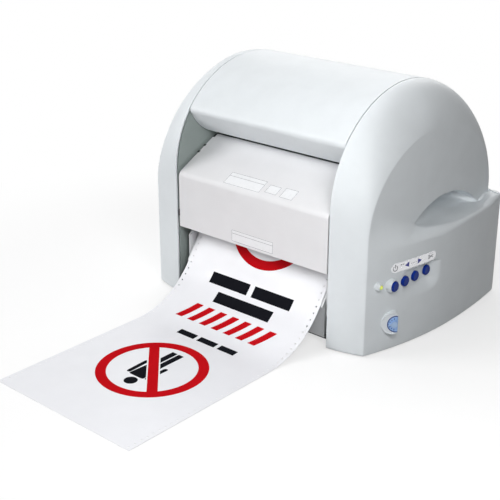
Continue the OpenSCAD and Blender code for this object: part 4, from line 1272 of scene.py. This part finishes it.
@dataclass
class HandGrip:
    """Hollow of a side cover's hand grip: arched roof, dished floor and scooped inner wall."""

    cover: SideCover
    ends: Flat = (-46.1, 100.8)
    dish_ends: Flat = (97.0, 124.0)
    stations: tuple[int, int] = (72, 12)
    lead: float = 1.0
    growth: float = 55.0
    arch_centre: Flat = (25.0, 41.0)
    arch_radius: float = 109.0
    least_gap: float = 0.3
    floors: Flat = (123.6, 121.8)
    floor_run: Span = (30.0, 60.0)
    least_share: float = 0.02
    skim: float = 0.2
    depth: float = 33.0
    depth_power: float = 0.6
    depth_proud: float = 0.06
    closing_gaps: Flat = (5.0, 14.0)
    closing_run: Span = (0.0, 50.0)
    reach_share: float = 0.9
    mouth: tuple[Flat, Flat] = ((40.0, 9.0), (3.0, 0.4))
    floor_steps: int = 12
    lip_drop: float = 1.2
    dish_power: float = 0.9
    wall_steps: int = 16
    wall_power: int = 3
    wall_gap: float = 0.1
    brow: tuple[Point, ...] = ((1.2, 0.5, 0.0), (0.6, 0.3, 0.12), (0.15, 0.1, 0.5))
    brow_edge: Flat = (0.1, 1.1)
    brow_tail: tuple[Point, ...] = ((0.5, 2.1, 1.5), (9.0, 2.6, 2.0))

    def hollow(self) -> bpy.types.Mesh:
        """Closed mesh of the hollow.

        Returns:
            The mesh, from the grip's front tip to the end of its dish.
        """
        (start, end), (many, few) = self.ends, self.stations
        places = [mix(start, end, step / many) for step in range(many + 1)]
        places += [mix(end, self.dish_ends[1], step / few) for step in range(1, few + 1)]
        sign = self.cover.side.value
        rings = [[(sign * x, y, z) for x, z in self.section(y)] for y in places]
        return Shop.loft("grip_hollow", rings)

    def section(self, y: float) -> list[Flat]:
        """Section of the hollow at one place along the depth.

        Args:
            y: the place.

        Returns:
            Points from the outside along the floor, up the inner wall and out under the roof.
        """
        cover, (start, end), (dish_start, dish_end) = self.cover, self.ends, self.dish_ends
        x, edge, grown = cover.flat_x, cover.ledge(y), ease((y - start) / self.growth)
        level = mix(*self.floors, ramp(y, *self.floor_run))
        level = mix(level, edge, ramp(y, dish_start, dish_end - dish_start))
        floor = mix(cover.crest_height(y, self.least_share) + self.skim, level, grown)
        arch_y, arch_z = self.arch_centre
        arch = arch_z + math.sqrt(max(0.0, self.arch_radius ** 2 - (y - arch_y) ** 2))
        roof = max(floor + self.least_gap, arch)
        share = min(1.0, (y - start + self.lead) / (end - start + self.lead))
        swell = math.sin(math.pi * share ** 2) ** self.depth_power
        closing = ease((arch - floor) / mix(*self.closing_gaps, ramp(y, *self.closing_run)))
        deep = self.depth * swell * closing - self.depth_proud
        reach = self.reach_share * (cover.barrel(y) - x)
        (far_out, far_up), (near_out, near_up) = self.mouth
        section = [(x + far_out, edge + far_up), (x + reach + near_out, edge + near_up)]
        for step in range(self.floor_steps + 1):
            out = 1.0 - step / self.floor_steps
            dished = mix(level, edge - self.lip_drop, ease(out ** self.dish_power))
            block = cover.crest_height(y, max(self.least_share, self.reach_share * out)) + self.skim
            section.append((x + reach * out, mix(block, dished, grown)))
        for step in range(1, self.wall_steps + 1):
            turn = math.sin(math.pi / 2 * step / self.wall_steps)
            climb = 1.0 - (1.0 - turn ** self.wall_power) ** (1 / self.wall_power)
            section.append((x - deep * turn, floor + climb * (roof - floor - self.wall_gap)))
        section += [(x - min(most, part * deep), roof + rise) for most, part, rise in self.brow]
        section.append((x + self.brow_edge[0], roof + self.brow_edge[1]))
        return section + [(x + out, max(roof + rise, edge + clear))
                          for out, rise, clear in self.brow_tail]


@dataclass
class KeyPanel:
    """Bezel behind the keys with the power key's boss, the lamp's holder and the marked strip."""

    cover: SideCover = field(default_factory=SideCover)
    back_x: float = 155.5
    plate_wall: float = 2.5
    plate_half: float = 8.5
    plate_corner: float = 3.0
    corner_steps: int = 6
    stem_radius: float = 2.6
    stem_cut: Flat = (-2.0, 4.0)
    boss_top: float = 170.3
    boss_radius: float = 7.3
    boss_foot: Flat = (165.0, 0.5)
    boss_flare: float = 0.7
    boss_edge: tuple[Flat, ...] = ((1.1, 0.0), (0.5, 0.14), (0.12, 0.5), (0.0, 0.9))
    boss_seat: Flat = (167.0, 166.6)
    boss_bore: float = 7.0
    key_hole: float = 6.05
    chamfer: float = 0.1
    holder_back: float = 157.0
    holder_waist: float = 161.5
    holder_end: float = 165.4
    holder_flares: Flat = (0.3, 0.2)
    holder_radius: float = 4.4
    holder_round: float = 1.6
    lamp_hole: float = 2.55
    strip_ends: Flat = (-91.0, -23.0)
    strip_z: Flat = (92.4, 102.6)
    strip_steps: int = 40
    strip_wall: float = 0.16
    film_sink: float = 0.05
    ink_sink: float = 0.03
    ink_height: float = 0.05
    ink_step: float = 0.01

    def build(self) -> None:
        """Builds the bezel, the lamp holder and the strip with its marks."""
        self.bezel()
        self.holder()
        self.strip()
        self.marks()

    def bezel(self) -> None:
        """Builds the back plate with its stem holes and the power key's boss."""
        back, outline = self.back_x, self.plate_outline()
        levels = (back, back + self.plate_wall)
        plate = Shop.loft("plate", [[(x, y, z) for y, z in outline] for x in levels])
        ends = [(back + out, self.stem_radius) for out in self.stem_cut]
        stems = [Shop.turned("stem_hole", (y, KEY_Z), ends) for y in KEY_PLACES]
        mesh = Shop.join("key_bezel", [self.boss(), Shop.carve(plate, stems)])
        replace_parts(Shop.piece(mesh, "cover", "housing"), "control_bezel")

    def boss(self) -> bpy.types.Mesh:
        """Collar round the power key, with a rounded outer edge.

        Returns:
            The closed mesh.
        """
        back, top, radius, hole = self.back_x, self.boss_top, self.boss_radius, self.key_hole
        (foot, foot_flare), (seat, seat_end) = self.boss_foot, self.boss_seat
        profile = [(back, radius + self.boss_flare), (foot, radius + foot_flare)]
        profile += [(top - drop, radius - inset) for drop, inset in self.boss_edge]
        profile += [(top, hole + self.chamfer), (top - self.chamfer, hole), (seat, hole)]
        profile += [(seat_end, self.boss_bore), (back, self.boss_bore)]
        return Shop.turned("boss", (KEY_PLACES[0], KEY_Z), profile, hollow=True)

    def plate_outline(self) -> list[Flat]:
        """Outline of the back plate with its rounded corners.

        Returns:
            Places along the depth and heights.
        """
        low, high = KEY_PLACES[0] - self.plate_half, KEY_PLACES[-1] + self.plate_half
        corner, outline = self.plate_corner, []
        for y, way, base in ((high, 1, 0), (low, 1, 90), (low, -1, 180), (high, -1, 270)):
            cy = y + (corner if y == low else -corner)
            cz = KEY_Z + way * (self.plate_half - corner)
            for step in range(self.corner_steps + 1):
                turn = math.radians(base + 90 * step / self.corner_steps)
                outline.append((cy + corner * math.cos(turn), cz + corner * math.sin(turn)))
        return outline

    def holder(self) -> None:
        """Builds the round-ended holder of the lamp."""
        back, end = self.holder_back, self.holder_end
        radius, hole = self.holder_radius, self.lamp_hole
        rounding, (back_flare, waist_flare) = self.holder_round, self.holder_flares
        profile = [(back, radius + back_flare), (self.holder_waist, radius + waist_flare)]
        for step in range(self.corner_steps + 1):
            turn = math.radians(90 * step / self.corner_steps)
            profile.append((end - rounding + rounding * math.sin(turn),
                            radius - rounding + rounding * math.cos(turn)))
        profile += [(end, hole + self.chamfer), (end - self.chamfer, hole), (back, hole)]
        mesh = Shop.turned("lamp_holder", (LAMP_PLACE, LAMP_Z), profile, hollow=True)
        Shop.piece(mesh, "cover", "housing")

    def on_barrel(self, y: float, z: float, height: float) -> Point:
        """Point at a height above the block's barrel side."""
        slope = math.asin((y - self.cover.bulge_y) / self.cover.front_radius)
        return (self.cover.barrel(y) + height * math.cos(slope), y + height * math.sin(slope), z)

    def strip(self) -> None:
        """Lays the white strip with round ends on the barrel side."""
        (begin, end), (low, high) = self.strip_ends, self.strip_z
        half, middle = (high - low) / 2, (high + low) / 2
        columns = []
        for step in range(self.strip_steps + 1):
            y = mix(begin, end, (1 - math.cos(math.pi * step / self.strip_steps)) / 2)
            short = max(0.0, half - (y - begin), half - (end - y))
            reach = math.sqrt(max(0.01, half ** 2 - short ** 2))
            columns.append([(y, middle - reach), (y, middle), (y, middle + reach)])
        art = Artwork().patch(columns)
        mesh = Shop.slab("key_strip", art, self.on_barrel, -self.film_sink, self.strip_wall)
        Shop.piece(mesh, "cover", "housing", STRIP_FILM)

    def marks(self) -> None:
        """Prints common signs over the keys: power, back, forth and scissors, with dashes."""
        middle = sum(self.strip_z) / 2
        blue, dark = Artwork(), Artwork()
        self.power_sign(dark, KEY_PLACES[0] + 5.0, middle)
        self.arrows(blue, dark, middle)
        blades = self.scissors(dark, KEY_PLACES[3] - 2.5, middle)
        levels = [(blue, MARK_BLUE, 0, "strip_arrows"), (dark, MARK_DARK, 0, "strip_signs")]
        levels += [(art, MARK_DARK, n, f"strip_blade_{n}") for n, art in enumerate(blades, 1)]
        for art, finish, layer, name in levels:
            high = self.strip_wall + (self.ink_height + self.ink_step * layer)
            mesh = Shop.slab(name, art, self.on_barrel, self.strip_wall - self.ink_sink, high)
            Shop.piece(mesh, "key", "housing", finish)

    @staticmethod
    def power_sign(art: Artwork, y: float, z: float) -> None:
        """Draws an open ring with an upright stroke about a middle."""
        art.ring((y, z - 0.4), 2.5, 3.3, (-235.0, 55.0), 40)
        art.stroke((y, z), (y, z + 3.8), 0.9)

    @staticmethod
    def arrows(blue: Artwork, dark: Artwork, z: float) -> None:
        """Draws the arrows back and forth, with two dashes before them and four between them.

        Args:
            blue: takes the arrows.
            dark: takes the dashes.
            z: height of the strip's middle.
        """
        back, forth = KEY_PLACES[1], KEY_PLACES[2]
        for shift in (-7.5, -4.5):
            dark.bar((back + shift, z + 1.6), (back + shift + 2.0, z + 2.6))
        for y, way in ((back + 2.0, -1), (forth + 2.0, 1)):
            blue.shape([(y - 2.9 * way, z - 3.2), (y - 2.9 * way, z + 3.2), (y + 3.2 * way, z)])
        for i in range(4):
            dark.bar((back + 8.0 + 2.3 * i, z - 0.25), (back + 9.3 + 2.3 * i, z + 0.25))

    @staticmethod
    def scissors(art: Artwork, y: float, z: float) -> list[Artwork]:
        """Draws the scissors' rings and the dashes over them.

        Args:
            art: takes the rings and the dashes.
            y: place along the depth.
            z: height of the strip's middle.

        Returns:
            The two crossing blades, each a drawing of its own.
        """
        for lift in (-1, 1):
            art.ring((y - 2.4, z + 1.35 * lift), 0.55, 1.15, steps=24)
        for i in range(4):
            art.bar((y - 3.4 + 2.0 * i, z + 3.4), (y - 2.3 + 2.0 * i, z + 3.75))
        return [Artwork().stroke((y - 1.5, z + 0.9 * lift), (y + 4.2, z - 1.3 * lift), 0.7)
                for lift in (-1, 1)]


@dataclass
class DialFace:
    """Slanted D-shaped boss that carries the dial, with the rim of the dial plate and its marks."""

    origin: Point = (175.99, -89.0, 36.0)
    angle: float = 46.0
    radius: float = 12.3
    corner: float = 1.6
    rim_wall: float = 1.1
    rim_height: float = 0.7
    depth: float = 17.0
    plate_radius: float = 8.7
    plate_centre: float = -2.0
    plate_wall: float = 0.8
    edge_gap: float = 0.05
    edge_width: float = 0.9
    edge_sink: float = 0.2
    pivot: float = -4.0
    tick_reach: Flat = (5.0, 6.2)
    end_tick_reach: Flat = (5.6, 7.2)
    tick_width: float = 0.6
    tick_heights: Flat = (-0.1, 0.05)
    corner_steps: int = 6
    round_steps: int = 48

    def build(self) -> None:
        """Builds the boss, the dark rim and the marks."""
        rim, high = self.rim_wall, self.rim_height
        steps = [(0.0, -self.depth), (0.0, high - 0.5), (0.15, high - 0.15), (0.5, high),
                 (rim - 0.3, high), (rim, high - 0.3), (rim + 0.1, 0.0)]
        rings = [[self.place(u, v, h) for u, v in self.outline(inset)] for inset, h in steps]
        Shop.piece(Shop.loft("dial_boss", rings), "cover", "housing")
        inner, outer = self.plate_radius + self.edge_gap, self.plate_radius + self.edge_width
        reach = math.degrees(math.acos(-self.plate_centre / outer))
        edge = Artwork().ring((self.plate_centre, 0.0), inner, outer, (reach, 360 - reach))
        mesh = Shop.slab("dial_rim", edge, self.place, -self.edge_sink, self.plate_wall)
        Shop.piece(mesh, "scale", "housing", RIM_BLUE)
        self.ticks()

    def ticks(self) -> None:
        """Prints the marks round the knob, with longer ones at both ends."""
        art = Artwork()
        for turn in range(90, 271, 30):
            u, v = math.cos(math.radians(turn)), math.sin(math.radians(turn))
            near, far = self.tick_reach if 110 < turn < 250 else self.end_tick_reach
            start, end = ((self.pivot + reach * u, reach * v) for reach in (near, far))
            art.stroke(start, end, self.tick_width)
        low, high = (self.plate_wall + height for height in self.tick_heights)
        mesh = Shop.slab("dial_marks", art, self.place, low, high)
        Shop.piece(mesh, "scale", "housing", RIM_BLUE)

    def place(self, u: float, v: float, height: float) -> Point:
        """Point on the slanted face: along it, upwards, and out of it.

        Args:
            u: distance along the face.
            v: distance upwards.
            height: distance out of the face.

        Returns:
            The point in millimetres.
        """
        turn = math.radians(self.angle)
        x, y, z = self.origin
        return (x + u * math.sin(turn) + height * math.cos(turn),
                y + u * math.cos(turn) - height * math.sin(turn), z + v)

    def outline(self, inset: float) -> list[Flat]:
        """D outline with rounded corners, drawn in by an inset.

        Args:
            inset: distance inside the boss's own edge.

        Returns:
            Points of the closed outline.
        """
        middle, big = -self.radius / 2, self.radius - inset
        corner = max(0.3, self.corner - inset)
        cu = -inset - corner
        cv = math.sqrt((big - corner) ** 2 - (cu - middle) ** 2)
        turn = math.degrees(math.atan2(cv, cu - middle))
        many, few = self.round_steps, self.corner_steps
        arcs = [(cu, cv, corner, [turn * i / few for i in range(few + 1)]),
                (middle, 0.0, big, [mix(turn, 360 - turn, i / many) for i in range(1, many)]),
                (cu, -cv, corner, [mix(-turn, 0, i / few) for i in range(few + 1)])]
        return [(u + radius * math.cos(math.radians(a)), v + radius * math.sin(math.radians(a)))
                for u, v, radius, angles in arcs for a in angles]


@dataclass(frozen=True)
class Plate:
    """One blank plate: name, lower and upper corner on its face, and its dividing lines."""

    name: str
    low: Flat
    high: Flat
    lines: tuple[float, ...] = ()


@dataclass
class FrontMarks:
    """Blank plates, a dark strip of painted shade under the hood's lip and the dark clips on the
    front cover.
    """

    front_y: float = -131.5
    bend_z: float = 155.5
    slope: float = 27.5
    half_width: float = 110.1
    slope_plates: tuple[Plate, ...] = (
        Plate("upper_plate", (-43.0, 4.0), (10.5, 23.0), (16.8,)),
        Plate("small_plate", (16.0, 7.0), (33.0, 20.0)),
        Plate("square_plate", (38.0, 6.0), (56.0, 21.5)),
    )
    upright_plates: tuple[Plate, ...] = (
        Plate("lower_plate", (-27.0, 91.5), (35.0, 106.0), (101.4,)),
    )
    plate_sink: float = 0.05
    plate_wall: float = 0.12
    line: float = 0.35
    line_inset: float = 0.4
    line_relief: float = 0.03
    # Dark strip along the top of the slope: painted shade for the dark gap under the hood's lip,
    # with a short bar that carries it down at the left end
    shade_strip_bars: tuple[tuple[Flat, Flat], ...] = (((-109.4, 72.8), (109.4, 75.8)),
                                                ((-109.9, 66.5), (-107.4, 72.8)))
    shade_strip_wall: float = 0.15
    slope_clips: tuple[Flat, ...] = ((37.5, 40.5), (49.5, 52.5))
    slope_lap: float = 1.3
    upright_clip: Flat = (102.0, 110.0)
    upright_lap: float = 0.2
    clip_out: float = 1.5
    clip_depth: float = 2.6
    clip_rise: float = 0.4
    clip_round: float = 0.4

    def build(self) -> None:
        """Builds the plates, the dark strip of painted shade under the hood's lip and the clips."""
        for plate in self.slope_plates:
            self.plate(plate, self.on_slope)
        for plate in self.upright_plates:
            self.plate(plate, self.on_upright)
        # Painted shade: a thin dark strip laid where the gap under the hood's lip falls in shade
        shade_art = Artwork()
        for low, high in self.shade_strip_bars:
            shade_art.bar(low, high)
        mesh = Shop.slab("painted_shade_strip", shade_art, self.on_slope, -self.plate_sink, self.shade_strip_wall)
        Shop.piece(mesh, "dark", "front_door")
        for side in Side:
            for n, ends in enumerate(self.slope_clips, 1):
                self.clip(f"slope_clip_{side.word}_{n}", self.on_slope, side, ends, self.slope_lap)
        self.clip("upright_clip", self.on_upright, Side.LEFT, self.upright_clip, self.upright_lap)

    def on_slope(self, x: float, along: float, height: float) -> Point:
        """Point on the sloping part: across, up the slope from the bend, and out of it.

        Args:
            x: place across.
            along: distance up the slope.
            height: distance out of the face.

        Returns:
            The point in millimetres.
        """
        turn = math.radians(self.slope)
        return (x, self.front_y + along * math.cos(turn) - height * math.sin(turn),
                self.bend_z + along * math.sin(turn) + height * math.cos(turn))

    def on_upright(self, x: float, z: float, height: float) -> Point:
        """Point on the upright part: across, upwards, and out of it."""
        return (x, self.front_y - height, z)

    def plate(self, plate: Plate, place: Placer) -> None:
        """Lays one blank plate with a thin border and dividing lines.

        Args:
            plate: the plate's name and sizes.
            place: the face that it lies on.
        """
        (left, low), (right, high), inset = plate.low, plate.high, self.line_inset
        inner_low, inner_high = (left + inset, low + inset), (right - inset, high - inset)
        film = Artwork().bar(plate.low, plate.high)
        mesh = Shop.slab(plate.name, film, place, -self.plate_sink, self.plate_wall)
        Shop.piece(mesh, "panel", "front_door", LABEL_FILM)
        rule = Artwork().frame(inner_low, inner_high, self.line)
        for v in plate.lines:
            rule.bar((left + 2 * inset, v), (right - 2 * inset, v + self.line))
        under, over = self.plate_wall - self.line_relief, self.plate_wall + self.line_relief
        mesh = Shop.slab(f"{plate.name}_lines", rule, place, under, over)
        Shop.piece(mesh, "panel", "front_door", LABEL_LINE)

    def clip(self, name: str, place: Placer, side: Side, ends: Flat, lap: float) -> None:
        """Adds one dark clip to a side edge of the cover.

        Args:
            name: the clip's name.
            place: the face beside it.
            side: the edge that it sits on.
            ends: where it starts and ends along the face.
            lap: how far it reaches over the edge.
        """
        (low, high), rounding = ends, self.clip_round
        inner, outer = self.half_width - lap, self.half_width + self.clip_out
        under, over = -self.clip_depth, self.clip_rise
        rings = []
        for along, shrink in ((low, rounding), (low + rounding, 0.0), (high - rounding, 0.0),
                              (high, rounding)):
            corners = [(inner, under), (outer - shrink, under + shrink),
                       (outer - shrink, over - shrink), (inner, over)]
            rings.append([place(side.value * x, along, h) for x, h in corners])
        Shop.piece(Shop.loft(name, rings), "dark", "front_door")


@dataclass
class ExitCheeks:
    """Light cheek plates that stand beside the sheet on the exit chute."""

    inner_x: float = 103.4
    thick: float = 1.8
    edge_round: float = 0.3
    centre: Flat = (-108.0, 66.0)
    half_size: float = 30.0
    outline: tuple[Flat, ...] = ((-122.0, 34.0), (-122.0, 76.0), (-117.0, 81.0), (-101.0, 97.0),
                                 (-94.0, 97.0), (-94.0, 70.0), (-112.0, 34.0))

    def build(self) -> None:
        """Builds one cheek for each side."""
        (cy, cz), edge, thick = self.centre, self.edge_round, self.thick
        for side in Side:
            rings = []
            for depth, inset in ((0.0, edge), (edge, 0.0), (thick - edge, 0.0), (thick, edge)):
                x, shrink = side.value * (self.inner_x + depth), 1.0 - inset / self.half_size
                rings.append([(x, cy + (y - cy) * shrink, cz + (z - cz) * shrink)
                              for y, z in self.outline])
            Shop.piece(Shop.loft(f"exit_cheek_{side.word}", rings), "chute", "housing")


@dataclass
class PrintedSheet:
    """Sign sheet that runs out of the exit, with its edge holes and its print."""

    width: float = 200.0
    thick: float = 0.4
    lead_y: float = -413.0
    level: float = 198.0
    curl_radius: float = 105.0
    curl_turn: float = 56.4
    ramp: float = 82.0
    cells: int = 48
    columns: int = 12
    edge_strip: float = 10.0
    hole_radius: float = 0.95
    hole_inset: float = 4.6
    ring_middle: Flat = (2.0, 124.0)
    ring_radii: Flat = (49.0, 60.4)
    next_ring_back: float = 5.4
    slash_ends: tuple[Flat, Flat] = ((-35.0, 163.0), (39.0, 88.0))
    slash_width: float = 11.4
    slash_margin: float = 3.0
    ink_sink: float = 0.03
    print_step: float = 2.5
    stripes: int = 7
    stripe_start: float = -68.0
    stripe_pitch: float = 18.6
    stripe_width: float = 10.0
    stripe_ends: Flat = (229.0, 254.5)
    stripe_lean: float = 14.0
    bars: tuple[tuple[Flat, tuple[Flat, ...]], ...] = (
        ((202.0, 211.0), ((-40.0, -14.0), (-9.0, 17.0), (22.0, 46.0))),
        ((263.0, 277.0), ((-37.0, 47.0),)),
        ((284.0, 298.0), ((-57.0, 1.0), (8.0, 65.0))),
    )

    @property
    def length(self) -> float:
        """Flat length of the sheet outside the feed roller."""
        return self.level + self.curl_radius * math.radians(self.curl_turn) + self.ramp

    def place(self, x: float, s: float, height: float) -> Point:
        """Point at a height above the underside, from its place on the flat sheet.

        Args:
            x: place across the sheet.
            s: distance from the leading edge.
            height: height above the underside.

        Returns:
            The point in millimetres.
        """
        full = math.radians(self.curl_turn)
        turn = min(full, max(0.0, (s - self.level) / self.curl_radius))
        rest = s - self.level - turn * self.curl_radius
        rise = self.curl_radius - height
        y = self.lead_y + self.level + rise * math.sin(turn) + rest * math.cos(turn)
        return (x, y, self.curl_radius - rise * math.cos(turn) + rest * math.sin(turn))

    def build(self) -> None:
        blank = Shop.slab("sign_sheet", self.blank(), self.place, 0.0, self.thick)
        sheet = Shop.piece(blank, "label", "housing")
        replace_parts(sheet, "printed_sheet")
        slash = Artwork().stroke(*self.slash_ends, self.slash_width, False)
        margin = Artwork().stroke(*self.slash_ends, self.slash_width + self.slash_margin, False)
        layers = [
            ("print_red", self.red(), RED_PRINT, 0.04),
            ("print_black", self.black(), BLACK_PRINT, 0.04),
            ("print_margin", margin, WHITE_PRINT, 0.06),
            ("print_slash", slash, RED_PRINT, 0.08),
            ("print_rings", Artwork().ring(self.ring_middle, *self.ring_radii), RED_PRINT, 0.1),
        ]
        for name, art, finish, lift in layers:
            mesh = Shop.slab(name, art, self.place, self.thick - self.ink_sink, self.thick + lift)
            Shop.piece(mesh, "label", "housing", finish)

    def blank(self) -> Artwork:
        """Flat sheet with a row of holes along each edge.

        Returns:
            The shapes of the sheet.
        """
        art = Artwork()
        pitch, edge = self.length / self.cells, self.width / 2
        inner = edge - self.edge_strip
        across = [mix(-inner, inner, i / self.columns) for i in range(self.columns + 1)]
        art.patch([[(x, row * pitch / 3) for x in across] for row in range(3 * self.cells + 1)])
        hole = edge - self.hole_inset
        for cell in range(self.cells):
            low, high = cell * pitch, (cell + 1) * pitch
            for near, far, middle in ((inner, edge, hole), (-edge, -inner, -hole)):
                art.pierced((near, low), (far, high), (middle, (low + high) / 2), self.hole_radius)
        return art

    def red(self) -> Artwork:
        """Red shapes: slanting stripes on the curl and the next ring.

        Returns:
            The shapes.
        """
        art = Artwork()
        low, high = self.stripe_ends
        for i in range(self.stripes):
            start = self.stripe_start + self.stripe_pitch * i
            end = start + self.stripe_width
            art.bar((start, low), (end, high), self.print_step, self.stripe_lean)
        middle = (self.ring_middle[0], self.length - self.next_ring_back)
        art.ring(middle, *self.ring_radii, (185.0, 355.0), 64)
        return art

    def black(self) -> Artwork:
        """Black shapes: a plain standing figure and plain bars.

        Returns:
            The shapes.
        """
        art = Artwork()
        art.disc((3.0, 92.0), 7.4)
        art.shape([(-10.5, 102.5), (-8.0, 101.6), (8.0, 101.6), (10.5, 102.5), (8.6, 131.0),
                   (-8.6, 131.0)])
        for side in (-1, 1):
            art.stroke((13.6 * side, 105.5), (14.6 * side, 131.0), 5.2)
            left, right = sorted((0.9 * side, 8.4 * side))
            art.bar((left, 131.0), (right, 165.0), 40.0)
        for (low, high), ends in self.bars:
            for left, right in ends:
                art.bar((left, low), (right, high), self.print_step)
        return art


@dataclass(frozen=True)
class SoftLamp:
    """One soft square lamp: its name, place and edge length in metres, and watts."""

    name: str
    place: Point
    size: float
    power: float


@dataclass
class Studio:
    """Floor, light and the camera at the photograph's viewing angle."""

    camera_place: Point = (0.7472, -0.8374, 0.5497)
    camera_turn: Point = (67.73, 0.0, 41.41)
    lens: float = 77.57
    sensor: float = 36.0
    floor_size: float = 14.0
    floor_tone: float = 0.42
    floor_lift: float = 0.6
    floor_reach: Flat = (0.34, 0.62)
    ambient: float = 0.06
    aim: Point = (0.0, 0.08, 0.12)
    lamps: tuple[SoftLamp, ...] = (
        SoftLamp("top_light", (-0.9, 0.4, 2.0), 2.0, 15.0),
        SoftLamp("left_light", (-1.6, -1.6, 1.2), 1.4, 36.0),
        SoftLamp("front_light", (0.1, -2.2, 0.4), 1.2, 5.5),
        SoftLamp("right_light", (0.58, -0.34, 0.5), 0.25, 1.75),
        SoftLamp("side_light", (0.38, -0.32, 0.48), 0.2, 0.85),
        SoftLamp("back_light", (-1.0, 2.0, 1.2), 1.6, 16.0),
    )

    def build(self) -> None:
        """Makes everything that isn't part of the object."""
        self.world()
        self.floor()
        for lamp in self.lamps:
            self.hang(lamp)
        self.camera()
        bpy.context.scene.view_settings.view_transform = "Standard"

    def world(self) -> None:
        """White for the eye and for gloss, a softer level for plain light."""
        world = bpy.data.worlds.new("studio")
        bpy.context.scene.world = world
        world.use_nodes = True
        wiring = Wiring(world.node_tree)
        shader = world.node_tree.nodes["Background"]
        level = wiring.node("ShaderNodeMapRange", To_Min=self.ambient, To_Max=1.0)
        wiring.join(self.seen(wiring), level.inputs["Value"])
        wiring.join(level.outputs["Result"], shader.inputs["Strength"])
        shader.inputs["Color"].default_value = (1.0, 1.0, 1.0, 1.0)

    @staticmethod
    def seen(wiring: Wiring) -> bpy.types.NodeSocket:
        """Value that is 1 for the rays that show the background: camera, gloss and transmission.

        Args:
            wiring: the nodes that it goes into.

        Returns:
            The value's output.
        """
        path = wiring.node("ShaderNodeLightPath")
        value = path.outputs["Is Camera Ray"]
        for ray in ("Is Glossy Ray", "Is Transmission Ray"):
            both = wiring.node("ShaderNodeMath")
            both.operation = "MAXIMUM"
            wiring.join(value, both.inputs[0])
            wiring.join(path.outputs[ray], both.inputs[1])
            value = both.outputs[0]
        return value

    def floor(self) -> None:
        """Lays a pale floor that keeps the object's shadow."""
        half = self.floor_size / 2
        corners = [(-half, -half, 0), (half, -half, 0), (half, half, 0), (-half, half, 0)]
        mesh = bpy.data.meshes.new("floor")
        mesh.from_pydata(corners, [], [(0, 1, 2, 3)])
        floor = bpy.data.objects.new("floor", mesh)
        bpy.context.collection.objects.link(floor)
        made = bpy.data.materials.new("floor_paper")
        made.use_nodes = True
        wiring = Wiring(made.node_tree)
        shader = made.node_tree.nodes["Principled BSDF"]
        reach = wiring.node("ShaderNodeVectorMath")
        reach.operation = "LENGTH"
        wiring.join(wiring.node("ShaderNodeTexCoord").outputs["Object"], reach.inputs[0])
        low, high = self.floor_reach
        fades = []
        for near, far in ((self.floor_tone, 0.0), (self.floor_lift, 1.0)):
            fade = wiring.node("ShaderNodeMapRange", From_Min=low, From_Max=high, To_Min=near,
                               To_Max=far)
            fade.interpolation_type = "SMOOTHSTEP"
            wiring.join(reach.outputs["Value"], fade.inputs["Value"])
            fades.append(fade)
        tone, glow = fades
        wiring.join(tone.outputs["Result"], shader.inputs["Base Color"])
        shader.inputs["Roughness"].default_value = 0.9
        shader.inputs["Specular IOR Level"].default_value = 0.0
        lift = wiring.node("ShaderNodeMath")
        lift.operation = "MULTIPLY"
        wiring.join(self.seen(wiring), lift.inputs[0])
        wiring.join(glow.outputs["Result"], lift.inputs[1])
        shader.inputs["Emission Color"].default_value = (1.0, 1.0, 1.0, 1.0)
        wiring.join(lift.outputs[0], shader.inputs["Emission Strength"])
        mesh.materials.append(made)

    def hang(self, lamp: SoftLamp) -> None:
        """Hangs one lamp that looks at the object.

        Args:
            lamp: the lamp's name, place, size and power.
        """
        data = bpy.data.lights.new(lamp.name, "AREA")
        data.size = lamp.size
        data.energy = lamp.power
        hung = bpy.data.objects.new(lamp.name, data)
        hung.location = lamp.place
        hung.visible_camera = False
        way = Vector(self.aim) - Vector(lamp.place)
        hung.rotation_euler = way.to_track_quat("-Z", "Y").to_euler()
        bpy.context.collection.objects.link(hung)

    def camera(self) -> None:
        """Stands the camera where the photograph was taken from."""
        data = bpy.data.cameras.new("camera")
        data.lens = self.lens
        data.sensor_width = self.sensor
        camera = bpy.data.objects.new("camera", data)
        camera.location = self.camera_place
        camera.rotation_euler = [math.radians(turn) for turn in self.camera_turn]
        bpy.context.collection.objects.link(camera)
        bpy.context.scene.camera = camera


def main() -> None:
    """Dresses the frame, builds the visual pieces and sets the stage."""
    logging.basicConfig(level=logging.INFO, format="%(name)s: %(message)s")
    Dressing().run()
    for side in Side:
        SideCover(side).build()
    KeyPanel().build()
    DialFace().build()
    FrontMarks().build()
    ExitCheeks().build()
    PrintedSheet().build()
    Studio().build()


if __name__ == "__main__":
    main()
